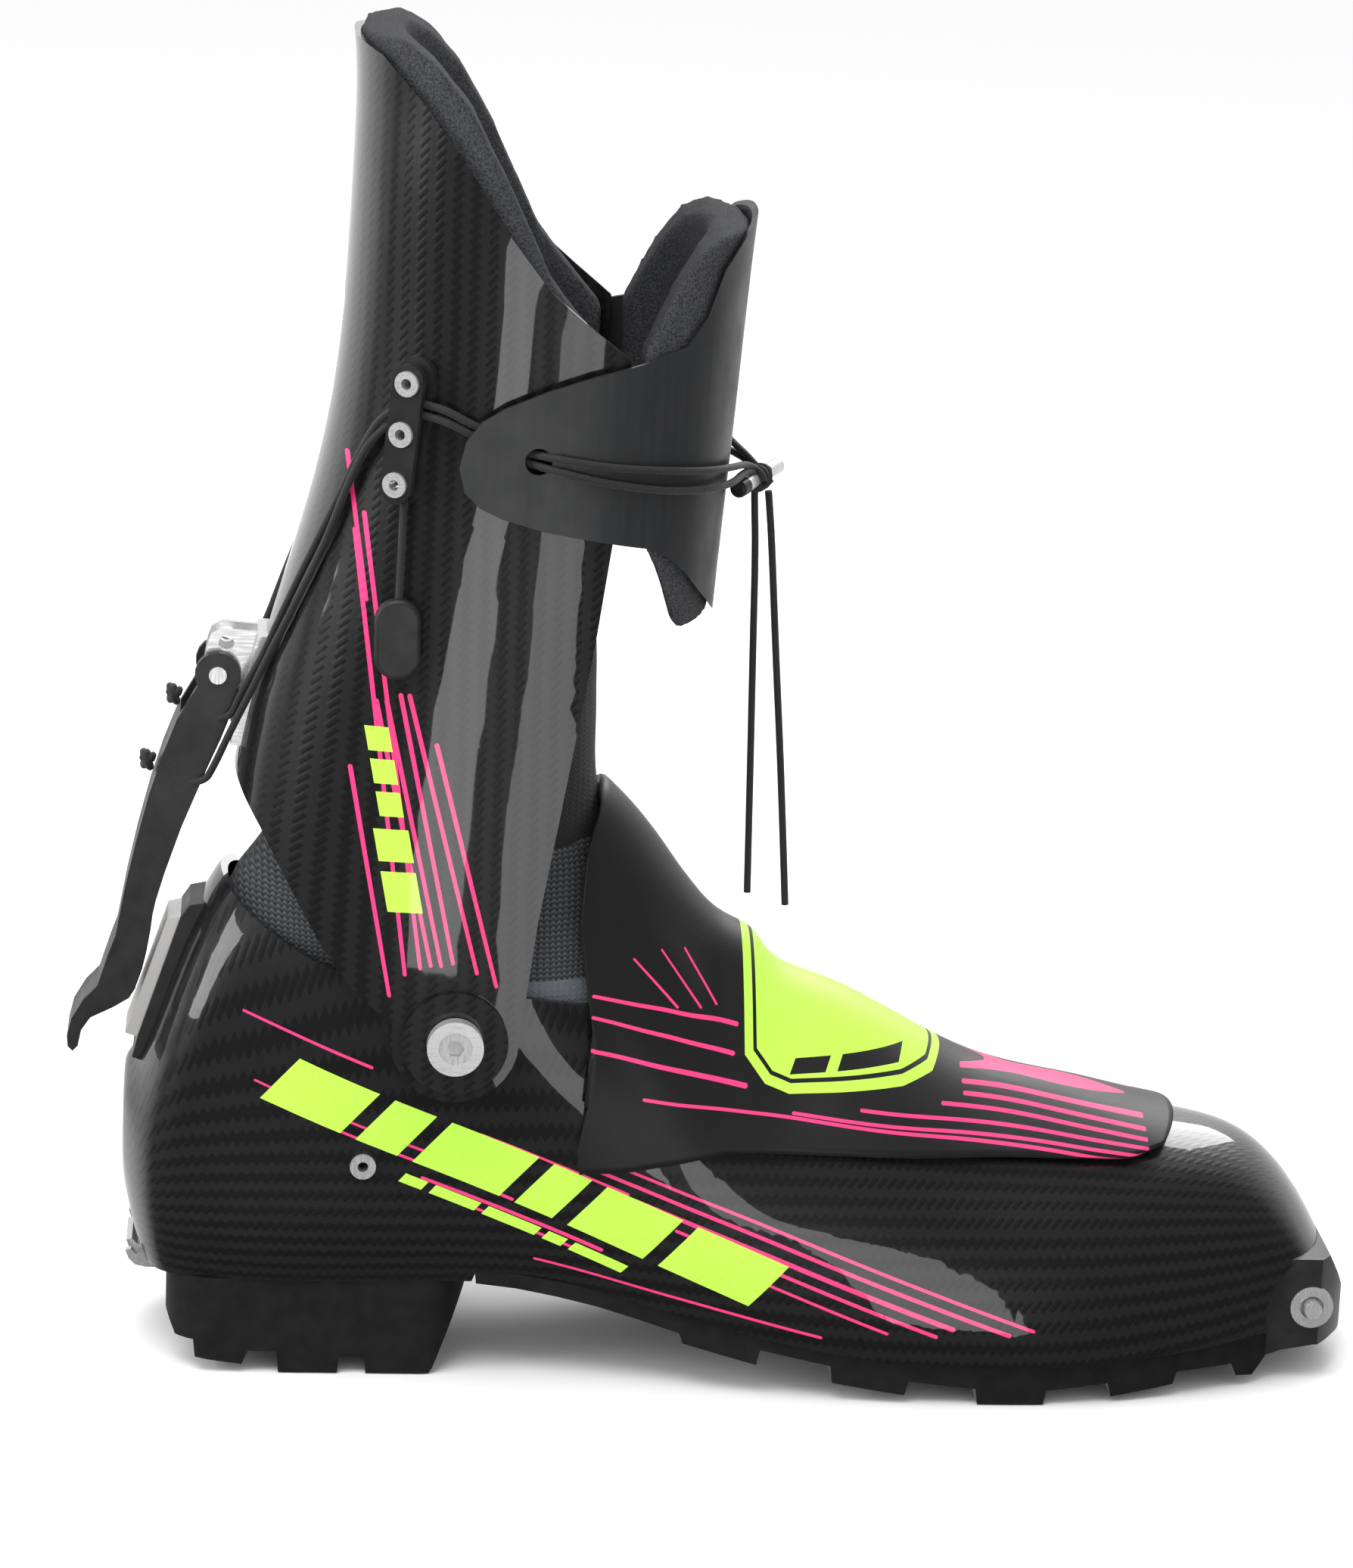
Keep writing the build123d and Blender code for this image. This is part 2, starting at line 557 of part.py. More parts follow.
with BuildPart() as guide_plates:
    for seat in guide_seats:
        with BuildSketch(seat.offset(GUIDE_BASE + GUIDE_GAP)):
            SlotOverall(33.5, 8)
            with GridLocations(RIVET_PITCH, 1, 3, 1):
                Circle(1.9, mode=Mode.SUBTRACT)
        extrude(amount=GUIDE_TOP)

with BuildPart() as cuff_shell:
    add(outer_cuff)
    with Locations(*on_pivot(BOSS_OUT - 3)):
        Cylinder(BOSS_R, 6)
    add(cuff_form(CUFF_WALL), mode=Mode.SUBTRACT)
    add(side_cut(lobe + CUFF_SIDE), mode=Mode.INTERSECT)
    with Locations(*on_pivot(45)):
        Cylinder(PIVOT_PIN_R, 12, mode=Mode.SUBTRACT)
    add(bracket_rivets.part, mode=Mode.SUBTRACT)
    for seat in guide_seats:
        with BuildSketch(seat.offset(-5)):
            with GridLocations(RIVET_PITCH, 1, 3, 1):
                Circle(1.9)
        extrude(amount=8, mode=Mode.SUBTRACT)

PAD_SIDE = [
    (-34, 257), (-43, 267), (-50, 275.5), (-55, 286.5), (-61.5, 300), (-70, 315.5), (-78, 324.5), (-85, 329),
    (-93, 328.5), (-99, 327.5), (-100, 236), (-60, 236), (-34, 240),
]

with BuildPart() as cuff_pad:
    add(cuff_form(CUFF_WALL + 0.1))
    add(cuff_form(CUFF_WALL + CUFF_PAD), mode=Mode.SUBTRACT)
    add(side_cut(PAD_SIDE), mode=Mode.INTERSECT)

# ---- lever and its bracket ---------------------------------------------------
EARS = [
    (-110, 181), (-118, 181.4), (-124.9, 182), (-127.6, 180.6), (-128.5, 178), (-129.4, 172.5),
    (-128.6, 169.3), (-126.4, 168), (-123.4, 168.4), (-121, 169.4), (-120.5, 163), (-110, 160),
]
BRACKET_FOOT = [(-116.4, 181.3), (-122.6, 154), (-108, 154), (-106, 181.3)]

with BuildPart() as lever_bracket:
    with BuildSketch(Plane.XZ):
        with BuildLine():
            Polyline(*BRACKET_FOOT, close=True)
        make_face()
    extrude(amount=9, both=True)
    for side in (-1, 1):
        with BuildSketch(Plane.XZ.offset(-side * (EAR_IN + EAR_OUT) / 2)):
            with BuildLine():
                Polyline(*EARS, close=True)
            make_face()
        extrude(amount=(EAR_OUT - EAR_IN) / 2, both=True)
    with Locations(Location((LEVER_PIN[0], 0, LEVER_PIN[1]), (90, 0, 0))):
        Cylinder(LEVER_PIN_R + RUNNING, 30, mode=Mode.SUBTRACT)
    with Locations(Location((-123.9, 0, 178.6), (90, 0, 0))):
        Cylinder(1.9, 30, mode=Mode.SUBTRACT)
    add(outer_cuff, mode=Mode.SUBTRACT)
    add(bracket_rivets.part, mode=Mode.SUBTRACT)

lever_head = [
    (LEVER_PIN[0] + 5.6 * cos(radians(turn)), LEVER_PIN[1] + 5.6 * sin(radians(turn)))
    for turn in range(-30, 211, 20)
]
LEVER_SIDE = [
    (-135.5, 160), (-138.9, 151), (-142, 141), (-145, 129), (-147.4, 118), (-149.7, 105), (-151.5, 100),
    (-154, 92), (-157.3, 88.5), (-160.2, 83.5), (-161.3, 79), (-161.1, 76.3), (-159.9, 75.1),
    (-158.6, 76.4), (-157.8, 80.5), (-155.6, 83.8), (-150, 86.6), (-146.2, 89), (-144.7, 91.5),
    (-142.6, 100), (-141.4, 107), (-140, 114), (-138, 121), (-134, 133), (-130, 143), (-128, 148),
    (-125, 155), (-123.1, 160), (-121.6, 164),
]
KNOT_PLACES = [(-136.1, 164.3), (-142.2, 147.6)]

with BuildPart() as lever_pin:
    with Locations(Location((LEVER_PIN[0], 0, LEVER_PIN[1]), (90, 0, 0))):
        Cylinder(LEVER_PIN_R, 2 * LEVER_HALF + 0.8)

with BuildPart() as lever:
    with BuildSketch(Plane.XZ):
        with BuildLine():
            Polyline(*lever_head, *LEVER_SIDE, close=True)
        make_face()
    extrude(amount=LEVER_HALF, both=True)
    with Locations(Location((LEVER_PIN[0], 0, LEVER_PIN[1]), (90, 0, 0))):
        Cylinder(13.5, 2 * EAR_OUT + 1.2, mode=Mode.SUBTRACT)
    with Locations(Location((LEVER_PIN[0], 0, LEVER_PIN[1]), (90, 0, 0))):
        Cylinder(LEVER_PIN_R, 30, mode=Mode.SUBTRACT)

LEVER_NOSE = [
    (-140.5, 112), (-141.2, 106), (-142.1, 100.5), (-143.1, 96), (-144.4, 92), (-145.6, 92), (-143.4, 102),
    (-141.6, 112),
]

with BuildPart() as lever_latch:
    with BuildSketch(Plane.XZ):
        with BuildLine():
            Polyline(*LEVER_NOSE, close=True)
        make_face()
    extrude(amount=LEVER_HALF - 2, both=True)
    add(lever.part, mode=Mode.SUBTRACT)

# ---- tongue ------------------------------------------------------------------
TONGUE_SIDE = [
    (3, 288), (0.5, 287.8), (-3, 285), (-9, 277.5), (-13, 267), (-18, 260.5), (-28, 257.3), (-40, 254.3),
    (-50, 251), (-60, 246.7), (-65.5, 243.3), (-69, 238.5), (-70.4, 232.3), (-69, 226.5), (-65.3, 222.8),
    (-60, 220.3), (-50, 217.5), (-33, 214.3), (-25, 212.7), (-20.3, 210), (-15.8, 205.4), (-10, 196.8),
    (-7.4, 192), (-6.5, 190.2), (3, 190.2),
]
TONGUE_PAD_SIDE = [
    (3, 284.5), (-4, 285.2), (-10, 285), (-15, 282), (-20, 275), (-25, 265), (-28.3, 258), (-28.5, 236),
    (-27.5, 216), (-22, 203.5), (-18.5, 193), (-16.5, 190.6), (3, 190.6),
]
EYE = (-52.0, 234.3)      # hole in each wing for the cord
EYE_R = 3.2

with BuildPart() as tongue_plate:
    add(tongue_form(0))
    add(tongue_form(TONGUE_WALL), mode=Mode.SUBTRACT)
    add(side_cut(TONGUE_SIDE), mode=Mode.INTERSECT)
    with Locations(Location((EYE[0], 0, EYE[1]), (90, 0, 0))):
        Cylinder(EYE_R, 120, mode=Mode.SUBTRACT)

with BuildPart() as tongue_pad:
    add(tongue_form(TONGUE_WALL + 0.1))
    add(tongue_form(TONGUE_WALL + TONGUE_PAD), mode=Mode.SUBTRACT)
    add(side_cut(TONGUE_PAD_SIDE), mode=Mode.INTERSECT)

# ---- cord, toggle and pull tab -----------------------------------------------


def cord_tube(route, name):
    """A cord along a route, its corners rounded as far as the runs allow."""
    points = [Vector(*point) for point in route]
    radii = []
    for before, here, after in zip(points, points[1:], points[2:]):
        turn = radians((here - before).get_angle(after - here))
        run = min((here - before).length, (after - here).length)
        radii.append(0.45 * run / tan(turn / 2))
    with BuildPart() as tube:
        with BuildLine() as path:
            FilletPolyline(*points, radius=radii)
        with BuildSketch(Plane(origin=path.line @ 0, z_dir=path.line % 0)):
            Circle(CORD_D / 2)
        sweep()
    section = pi * CORD_D ** 2 / 4
    length = sum(edge.length for edge in path.edges())
    print(f"{name}: length {length:.1f}, radii", [round(r, 1) for r in radii],
          f"volume/section {tube.part.volume / section:.1f}")
    return tube.part


def both_sides(routes, name):
    """The same cords on the near side and mirrored on the far side."""
    with BuildPart() as pair:
        for number, route in enumerate(routes):
            add(cord_tube(route, f"{name} {number}"))
            add(cord_tube([(x, -y, z) for x, y, z in route], f"{name} {number} far"))
    return pair


# From the lever's knots up round the back of the cuff, to the guide plates.
UPPER_REAR = [
    (-122.6, -9.6, 160.6), (-120.4, -11.6, 167.5), (-115.0, -14.0, 178), (-109.8, -18.6, 192), (-103.2, -23.8, 208),
    (-97.8, -28.2, 221), (-93.2, -32.2, 233), (-87.8, -36.9, 243.8), (-81.0, -40.6, 246.6),
]
LOWER_REAR = [
    (-128.9, -9.6, 144.4), (-126.4, -10.4, 149), (-122.6, -12.6, 158.5), (-117.6, -14.4, 169.5), (-113.3, -18.2, 180),
    (-107.3, -22.8, 194), (-100.6, -27.4, 210), (-95.8, -31.0, 225), (-89.6, -35.5, 239.4), (-81.2, -40.5, 244.0),
]
rear_cords = both_sides([UPPER_REAR, LOWER_REAR], "closing cord, rear")

# From the guide plates forward under the tongue's wings, to the eyes.
UPPER_GUIDE = [
    (-80.4, -41.0, 246.6), (-75.2, -43.75, 246.1), (-69.5, -44.3, 243.2), (-64.0, -44.4, 240.6),
    (-59.0, -44.4, 238.1), (-54.7, -44.6, 235.7),
]
LOWER_GUIDE = [
    (-80.6, -40.9, 244.0), (-75.2, -43.75, 243.4), (-69.4, -44.3, 240.7), (-64.0, -44.4, 238.0),
    (-59.1, -44.4, 235.6), (-54.7, -44.6, 233.4),
]
guide_cords = both_sides([UPPER_GUIDE, LOWER_GUIDE], "closing cord, guide")

# Out of the eyes and forward round the tongue plate, to the toggle's knot.
UPPER_FRONT = [
    (-53.4, -44.7, 235.6), (-49.6, -48.2, 235.7), (-36.5, -47.2, 233.4), (-22.5, -42.3, 231.9),
    (-10.8, -33.4, 230.2), (-4.3, -21.6, 228.7), (-1.2, -11.0, 227.6), (1.0, -5.0, 227.1),
]
LOWER_FRONT = [
    (-53.4, -44.7, 233.3), (-49.6, -48.2, 232.9), (-36.5, -47.2, 229.6), (-22.5, -42.3, 227.0),
    (-10.8, -33.4, 225.6), (-4.3, -21.6, 224.8), (-1.4, -12.0, 224.9), (0.6, -6.0, 224.9),
]
front_cords = both_sides([UPPER_FRONT, LOWER_FRONT], "closing cord, front")

TOGGLE_NEAR = (-2.4, -12.0, 221.0)
TOGGLE_FAR = (8.9, 8.0, 222.8)
TOGGLE_R = 1.95
toggle_axis = Vector(*TOGGLE_FAR) - Vector(*TOGGLE_NEAR)
toggle_seat = Plane(origin=TOGGLE_NEAR, z_dir=toggle_axis)
CAP_LENGTH = 4

with BuildPart() as toggle:
    with BuildSketch(toggle_seat.offset(CAP_LENGTH)):
        Circle(TOGGLE_R)
        Circle(0.9, mode=Mode.SUBTRACT)
    extrude(amount=toggle_axis.length - CAP_LENGTH)

with BuildPart() as toggle_cap:
    with BuildSketch(toggle_seat):
        Circle(TOGGLE_R + 0.25)
    extrude(amount=CAP_LENGTH)
    fillet(toggle_cap.faces().sort_by(Axis.Y)[0].edges(), 0.8)

with BuildPart() as cord_knot:
    with Locations((3.4, -2.4, 222.4)):
        Sphere(4.6)
    with BuildSketch(toggle_seat.offset(-2)):
        Circle(TOGGLE_R + 0.25)
    extrude(amount=toggle_axis.length + 6, mode=Mode.SUBTRACT)
    add(front_cords.part, mode=Mode.SUBTRACT)

# The two free ends hang from the knot.
HANGING_REAR = [
    (2.6, -3.2, 217.4), (3.4, -3.6, 205), (3.9, -3.3, 180), (4.6, -3.0, 150), (5.2, -3.4, 117.5),
]
HANGING_FRONT = [
    (6.4, -1.6, 217.0), (7.6, -1.2, 205), (9.8, -0.6, 178), (12.6, -1.0, 146), (15.0, -0.6, 113.6),
]
hanging_rear = cord_tube(HANGING_REAR, "hanging end, rear")
hanging_front = cord_tube(HANGING_FRONT, "hanging end, front")

with BuildPart() as hanging_cord_rear:
    add(hanging_rear)
    add(cord_knot.part, mode=Mode.SUBTRACT)

with BuildPart() as hanging_cord_front:
    add(hanging_front)
    add(cord_knot.part, mode=Mode.SUBTRACT)

PULL_ROUTE = [(-83.0, -40.4, 220.4), (-83.2, -42.3, 211), (-83.5, -43.9, 199.0)]
pull_loop = cord_tube(PULL_ROUTE, "pull tab's cord")

with BuildPart() as pull_cord:
    add(pull_loop)

with BuildPart() as pull_tab:
    with BuildSketch(Plane(origin=(-83.6, -43.9, 190.5), x_dir=(-0.02, 0, 1), z_dir=(0, -1, 0)).offset(-1.9)):
        SlotOverall(19.4, 11)
    extrude(amount=3.8)
    fillet(pull_tab.edges().filter_by(GeomType.CIRCLE), 1.2)
    add(pull_cord.part, mode=Mode.SUBTRACT)

# ---- knots on the lever ------------------------------------------------------
with BuildPart() as lever_knots:
    for x, z in KNOT_PLACES:
        with Locations((x, 0, z)):
            Sphere(2.6)
    add(lever.part, mode=Mode.SUBTRACT)

show_parts = {
    "lower_shell": lower_shell, "heel_sole": heel_sole, "forefoot_sole": forefoot_sole,
    "toe_block": toe_block, "toe_insert": toe_insert, "heel_fitting": heel_fitting,
    "heel_fitting_screw": heel_fitting_screw, "lock_plate": lock_plate, "lock_pad": lock_pad,
    "lock_screws": lock_screws, "shell_rivets": shell_rivets, "inner_boot": inner_boot,
    "insole": insole, "gaiter": gaiter, "pivot_barrels": pivot_barrels, "pivot_spacers": pivot_spacers,
    "pivot_caps": pivot_caps, "pivot_screws": pivot_screws, "bracket_rivets": bracket_rivets,
    "guide_rivets": guide_rivets, "guide_bases": guide_bases, "guide_plates": guide_plates,
    "cuff_shell": cuff_shell, "cuff_pad": cuff_pad, "lever_bracket": lever_bracket,
    "lever_pin": lever_pin, "lever": lever, "lever_latch": lever_latch, "lever_knots": lever_knots,
    "tongue_plate": tongue_plate, "tongue_pad": tongue_pad, "rear_cords": rear_cords,
    "guide_cords": guide_cords, "front_cords": front_cords, "toggle": toggle, "toggle_cap": toggle_cap,
    "cord_knot": cord_knot, "hanging_cord_rear": hanging_cord_rear,
    "hanging_cord_front": hanging_cord_front, "pull_cord": pull_cord, "pull_tab": pull_tab,
}
os.makedirs("parts", exist_ok=True)
for name, piece in show_parts.items():
    piece.part.label = name
    export_step(piece.part, f"parts/{name}.step")
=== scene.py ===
from math import cos, exp, pi, radians, sin, sqrt

import bpy
import numpy as np
from mathutils import Matrix, Vector, noise
from mathutils.bvhtree import BVHTree


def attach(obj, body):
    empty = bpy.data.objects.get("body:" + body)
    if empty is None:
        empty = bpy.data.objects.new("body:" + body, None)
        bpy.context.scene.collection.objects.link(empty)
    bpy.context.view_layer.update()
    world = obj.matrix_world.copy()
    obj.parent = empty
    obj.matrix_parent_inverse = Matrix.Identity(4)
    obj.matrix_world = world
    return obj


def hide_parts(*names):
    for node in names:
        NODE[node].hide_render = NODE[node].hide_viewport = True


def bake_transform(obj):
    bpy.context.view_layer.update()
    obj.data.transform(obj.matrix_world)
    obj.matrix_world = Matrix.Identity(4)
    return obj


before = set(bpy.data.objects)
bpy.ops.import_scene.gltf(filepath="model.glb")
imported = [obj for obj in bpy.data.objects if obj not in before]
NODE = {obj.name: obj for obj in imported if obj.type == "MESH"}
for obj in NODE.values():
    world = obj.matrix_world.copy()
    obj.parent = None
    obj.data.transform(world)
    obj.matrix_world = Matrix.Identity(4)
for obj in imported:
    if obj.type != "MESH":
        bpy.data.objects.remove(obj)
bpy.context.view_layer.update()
MM = 0.001
CORD_R = 0.9 * MM

# Where the laminate's cloth turns round the boot, in millimetres: the leg's middle along X and its
# radius, and the same for the foot along Z.
LEG_MIDDLE, LEG_R = -56.0, 48.0
FOOT_MIDDLE, FOOT_R = 34.0, 46.0
TOW_WIDTH = 1.7
GAITER_THICK = 0.8


# ---- camera ------------------------------------------------------------------
def place_camera():
    """The camera stands where the photograph's did."""
    turn, rise, roll = radians(4.6), radians(15.9), radians(2.3718)
    back = Vector((-sin(turn) * cos(rise), -cos(turn) * cos(rise), sin(rise)))
    right = (-back).cross(Vector((0, 0, 1))).normalized()
    up = right.cross(-back)
    rolled_right = cos(roll) * right + sin(roll) * up
    rolled_up = cos(roll) * up - sin(roll) * right
    data = bpy.data.cameras.new("camera")
    data.sensor_width = 36
    data.lens = 121.4
    camera = bpy.data.objects.new("camera", data)
    bpy.context.collection.objects.link(camera)
    turned = Matrix((rolled_right, rolled_up, back)).transposed()
    camera.matrix_world = Matrix.Translation((-0.11338, -1.24624, 0.50004)) @ turned.to_4x4()
    bpy.context.scene.camera = camera


place_camera()


# ---- material kit ------------------------------------------------------------
class Surface:
    """A Principled material, with short ways to add nodes to it."""

    def __init__(self, name, color, roughness, **plain):
        self.material = bpy.data.materials.new(name)
        self.material.use_nodes = True
        self.tree = self.material.node_tree
        self.shader = next(n for n in self.tree.nodes if n.type == "BSDF_PRINCIPLED")
        self.put("Base Color", (*color, 1))
        self.put("Roughness", roughness)
        for socket, value in plain.items():
            self.put(socket.replace("_", " "), value)
        coordinates = self.node("TexCoord")
        self.normal = coordinates.outputs["Normal"]
        self.place = self.vector("SCALE", coordinates.outputs["Object"], scale=1 / MM)
        split = self.node("SeparateXYZ", self.place)
        self.x, self.y, self.z = split.outputs

    def put(self, socket, value):
        """Sets or links one of the shader's sockets."""
        self.plug(self.shader.inputs[socket], value)

    def plug(self, socket, value):
        if isinstance(value, bpy.types.NodeSocket):
            self.tree.links.new(value, socket)
        elif value is not None:
            socket.default_value = value

    def node(self, kind, *values, **settings):
        node = self.tree.nodes.new("ShaderNode" + kind)
        for key, value in settings.items():
            setattr(node, key, value)
        for socket, value in zip(node.inputs, values):
            self.plug(socket, value)
        return node

    def math(self, operation, *values, clamp=False):
        return self.node("Math", *values, operation=operation, use_clamp=clamp).outputs[0]

    def vector(self, operation, a, b=None, scale=None):
        node = self.node("VectorMath", a, b, operation=operation)
        if scale is not None:
            self.plug(node.inputs["Scale"], scale)
        value = operation in ("DOT_PRODUCT", "DISTANCE", "LENGTH")
        return node.outputs["Value" if value else "Vector"]

    def joined(self, x, y, z=0.0):
        return self.node("CombineXYZ", x, y, z).outputs[0]

    def mixed(self, share, a, b):
        """Colour a where share is 0, and b where it is 1."""
        return self.node("MixRGB", share, a, b).outputs[0]

    def ramp(self, value, low, high, to_low=0.0, to_high=1.0):
        return self.node("MapRange", value, low, high, to_low, to_high).outputs[0]

    def grain(self, size, detail=2.0, stretch=(1, 1, 1), place=None):
        """Noise whose grains are size millimetres across, from 0 to 1."""
        scaled = self.vector("MULTIPLY", place or self.place, tuple(s / size for s in stretch))
        return self.node("TexNoise", scaled, None, 1.0, detail).outputs[0]

    def bump(self, height, depth, strength=1.0):
        """Height runs from 0 to 1, and depth is its size in millimetres."""
        node = self.node("Bump")
        self.plug(node.inputs["Strength"], strength)
        self.plug(node.inputs["Distance"], depth * MM)
        self.plug(node.inputs["Height"], height)
        self.put("Normal", node.outputs[0])


BLACK = (0.011, 0.011, 0.012)
PINK = (0.86, 0.035, 0.19, 1)
LIME = (0.47, 0.83, 0.07, 1)


def stroke(s, point, start, end, width):
    """1 on a thin side-view line from start to end, in millimetres."""
    span = Vector((end[0] - start[0], end[1] - start[1], 0))
    from_start = s.vector("SUBTRACT", point, (*start, 0))
    share = s.vector("DOT_PRODUCT", from_start, tuple(span / span.length_squared))
    share = s.math("MULTIPLY", share, 1.0, clamp=True)
    nearest = s.vector("SCALE", tuple(span), scale=share)
    away = s.vector("DISTANCE", from_start, nearest)
    thin = s.math("MULTIPLY_ADD", share, 0.1 * width, 0.4 * width)
    return s.math("LESS_THAN", away, thin)


def any_of(s, masks):
    total = masks[0]
    for mask in masks[1:]:
        total = s.math("MAXIMUM", total, mask)
    return total


def blocks(s, point, start, angle, middle, height, spans, slant=0.35):
    """A row of slanted bars: spans are where each begins and ends along the row."""
    along_way = Vector((cos(radians(angle)), sin(radians(angle)), 0))
    across_way = Vector((-along_way.y, along_way.x, 0))
    from_start = s.vector("SUBTRACT", point, (*start, 0))
    along = s.vector("DOT_PRODUCT", from_start, tuple(along_way))
    across = s.math("SUBTRACT", s.vector("DOT_PRODUCT", from_start, tuple(across_way)), middle)
    leaning = s.math("MULTIPLY_ADD", across, -slant, along)
    bars = [s.math("COMPARE", leaning, (a + b) / 2, (b - a) / 2) for a, b in spans]
    inside = s.math("COMPARE", across, 0.0, height / 2)
    return s.math("MULTIPLY", any_of(s, bars), inside)


def inside_of(s, point, corners):
    """How far inside a convex outline a point is, in millimetres. Corners run anticlockwise."""
    depth = None
    for a, b in zip(corners, corners[1:] + corners[:1]):
        edge = Vector((b[0] - a[0], b[1] - a[1], 0)).normalized()
        inward = Vector((-edge.y, edge.x, 0))
        reach = s.vector("DOT_PRODUCT", point, tuple(inward))
        here = s.math("SUBTRACT", reach, inward.dot(Vector((*a, 0))))
        depth = here if depth is None else s.math("MINIMUM", depth, here)
    return depth


def twill(s, along, around):
    """Height of a two-by-two twill, and which tow is on top."""
    step = sqrt(0.5) / TOW_WIDTH
    u = s.math("MULTIPLY", s.math("ADD", along, around), step)
    v = s.math("MULTIPLY", s.math("SUBTRACT", along, around), step)
    diagonal = s.math("SUBTRACT", s.math("FLOOR", u), s.math("FLOOR", v))
    over = s.math("LESS_THAN", s.math("FRACT", s.math("MULTIPLY", diagonal, 0.25)), 0.49)
    rounds = []
    for tow in (u, v):
        off = s.math("SUBTRACT", s.math("FRACT", tow), 0.5)
        rounds.append(s.math("MULTIPLY_ADD", s.math("MULTIPLY", off, off), -4.0, 1.0))
    height = s.node("Mix", over, rounds[0], rounds[1]).outputs[0]
    return height, over


def carbon(name, upright):
    """Clear-coated twill laminate, laid round the boot's leg if upright, or else round its foot."""
    s = Surface(name, BLACK, 0.38, Coat_Weight=1.0, Coat_Roughness=0.03, Specular_IOR_Level=0.3)
    if upright:
        turn = s.math("ARCTAN2", s.y, s.math("SUBTRACT", s.x, LEG_MIDDLE))
        along, around = s.z, s.math("MULTIPLY", turn, LEG_R)
    else:
        turn = s.math("ARCTAN2", s.y, s.math("SUBTRACT", s.z, FOOT_MIDDLE))
        along, around = s.x, s.math("MULTIPLY", turn, FOOT_R)
    height, over = twill(s, along, around)
    fibre = s.grain(0.5, 2, (1, 1, 0.15))
    # Painted sheen: the tows on top are painted lighter than those beneath, in place of the gloss that fibres
    # show along their own direction. The fibre grain then darkens them a little at random.
    tow = s.mixed(over, (0.0045, 0.0045, 0.005, 1), (0.0115, 0.0115, 0.0125, 1))
    tow = s.mixed(s.math("MULTIPLY", fibre, 0.4), tow, (0.006, 0.006, 0.0065, 1))
    s.bump(height, 0.12, 0.5)
    return s, tow


def printed(s, ground, pink, lime):
    """Pink and lime print over a ground colour, on the outer face only."""
    turned = s.node("SeparateXYZ", s.normal).outputs["Y"]
    outer = s.math("GREATER_THAN", s.math("MULTIPLY", turned, s.y), -0.05)
    color = s.mixed(s.math("MULTIPLY", outer, pink), ground, PINK)
    s.put("Base Color", s.mixed(s.math("MULTIPLY", outer, lime), color, LIME))
    return s.material


def shell_carbon():
    s, tow = carbon("carbon_shell", False)
    side = s.joined(s.x, s.z)
    lines = [
        ((-118, 94), (-87, 82.5), 0.8), ((-115, 77), (-62, 56), 0.7), ((-96, 66), (-52, 48.5), 0.8),
        ((-74, 53.5), (-30, 36.5), 1.0), ((-68, 48.5), (-34, 35.4), 0.8), ((-60, 65.5), (-24, 51.6), 0.7),
        ((-36, 62), (76, 20.5), 0.9), ((-31, 57), (70, 19.4), 1.1), ((-22, 50), (56, 20.9), 1.3),
        ((-12, 43), (52, 18.9), 1.0), ((-46, 32.5), (24, 17.5), 0.8), ((-4, 36.2), (40, 19.4), 0.8),
    ]
    pink = any_of(s, [stroke(s, side, a, b, w) for a, b, w in lines])
    start, angle = (-109, 78), -21.8
    wide_spans = [(0, 21), (25, 36), (40, 63), (67, 77), (81, 101), (105, 129)]
    wide = blocks(s, side, start, angle, 0, 13.5, wide_spans)
    narrow = blocks(s, side, start, angle, -11.5, 2.6, [(37, 43), (45, 57), (59, 73), (75, 80), (82, 96)])
    return printed(s, tow, pink, s.math("MAXIMUM", wide, narrow))


def cuff_carbon():
    s, tow = carbon("carbon_cuff", True)
    side = s.joined(s.x, s.z)
    tops = [(-93.9, 157.7), (-94.0, 213.7), (-91.9, 218), (-96.1, 231), (-88.1, 174.1), (-85.6, 174.1),
            (-82.4, 175.9), (-80.3, 175.9), (-73.6, 164.2)]
    feet = [(-83.4, 102.5), (-79.8, 107.9), (-76.2, 109.6), (-91.0, 198), (-73.7, 110.3), (-71.2, 110.3),
            (-68.4, 111), (-62.6, 108.6), (-57.9, 105.4)]
    pink = any_of(s, [stroke(s, side, b, a, 1.15) for a, b in zip(tops, feet)])
    start, angle, slant = (-88.0, 168), -79, 0.2
    small = blocks(s, side, start, angle, 0, 5.6, [(0, 6), (8, 14), (16, 22)], slant)
    large = blocks(s, side, start, angle, -0.8, 8.2, [(25, 33), (35.5, 45.5)], slant)
    return printed(s, tow, pink, s.math("MAXIMUM", small, large))


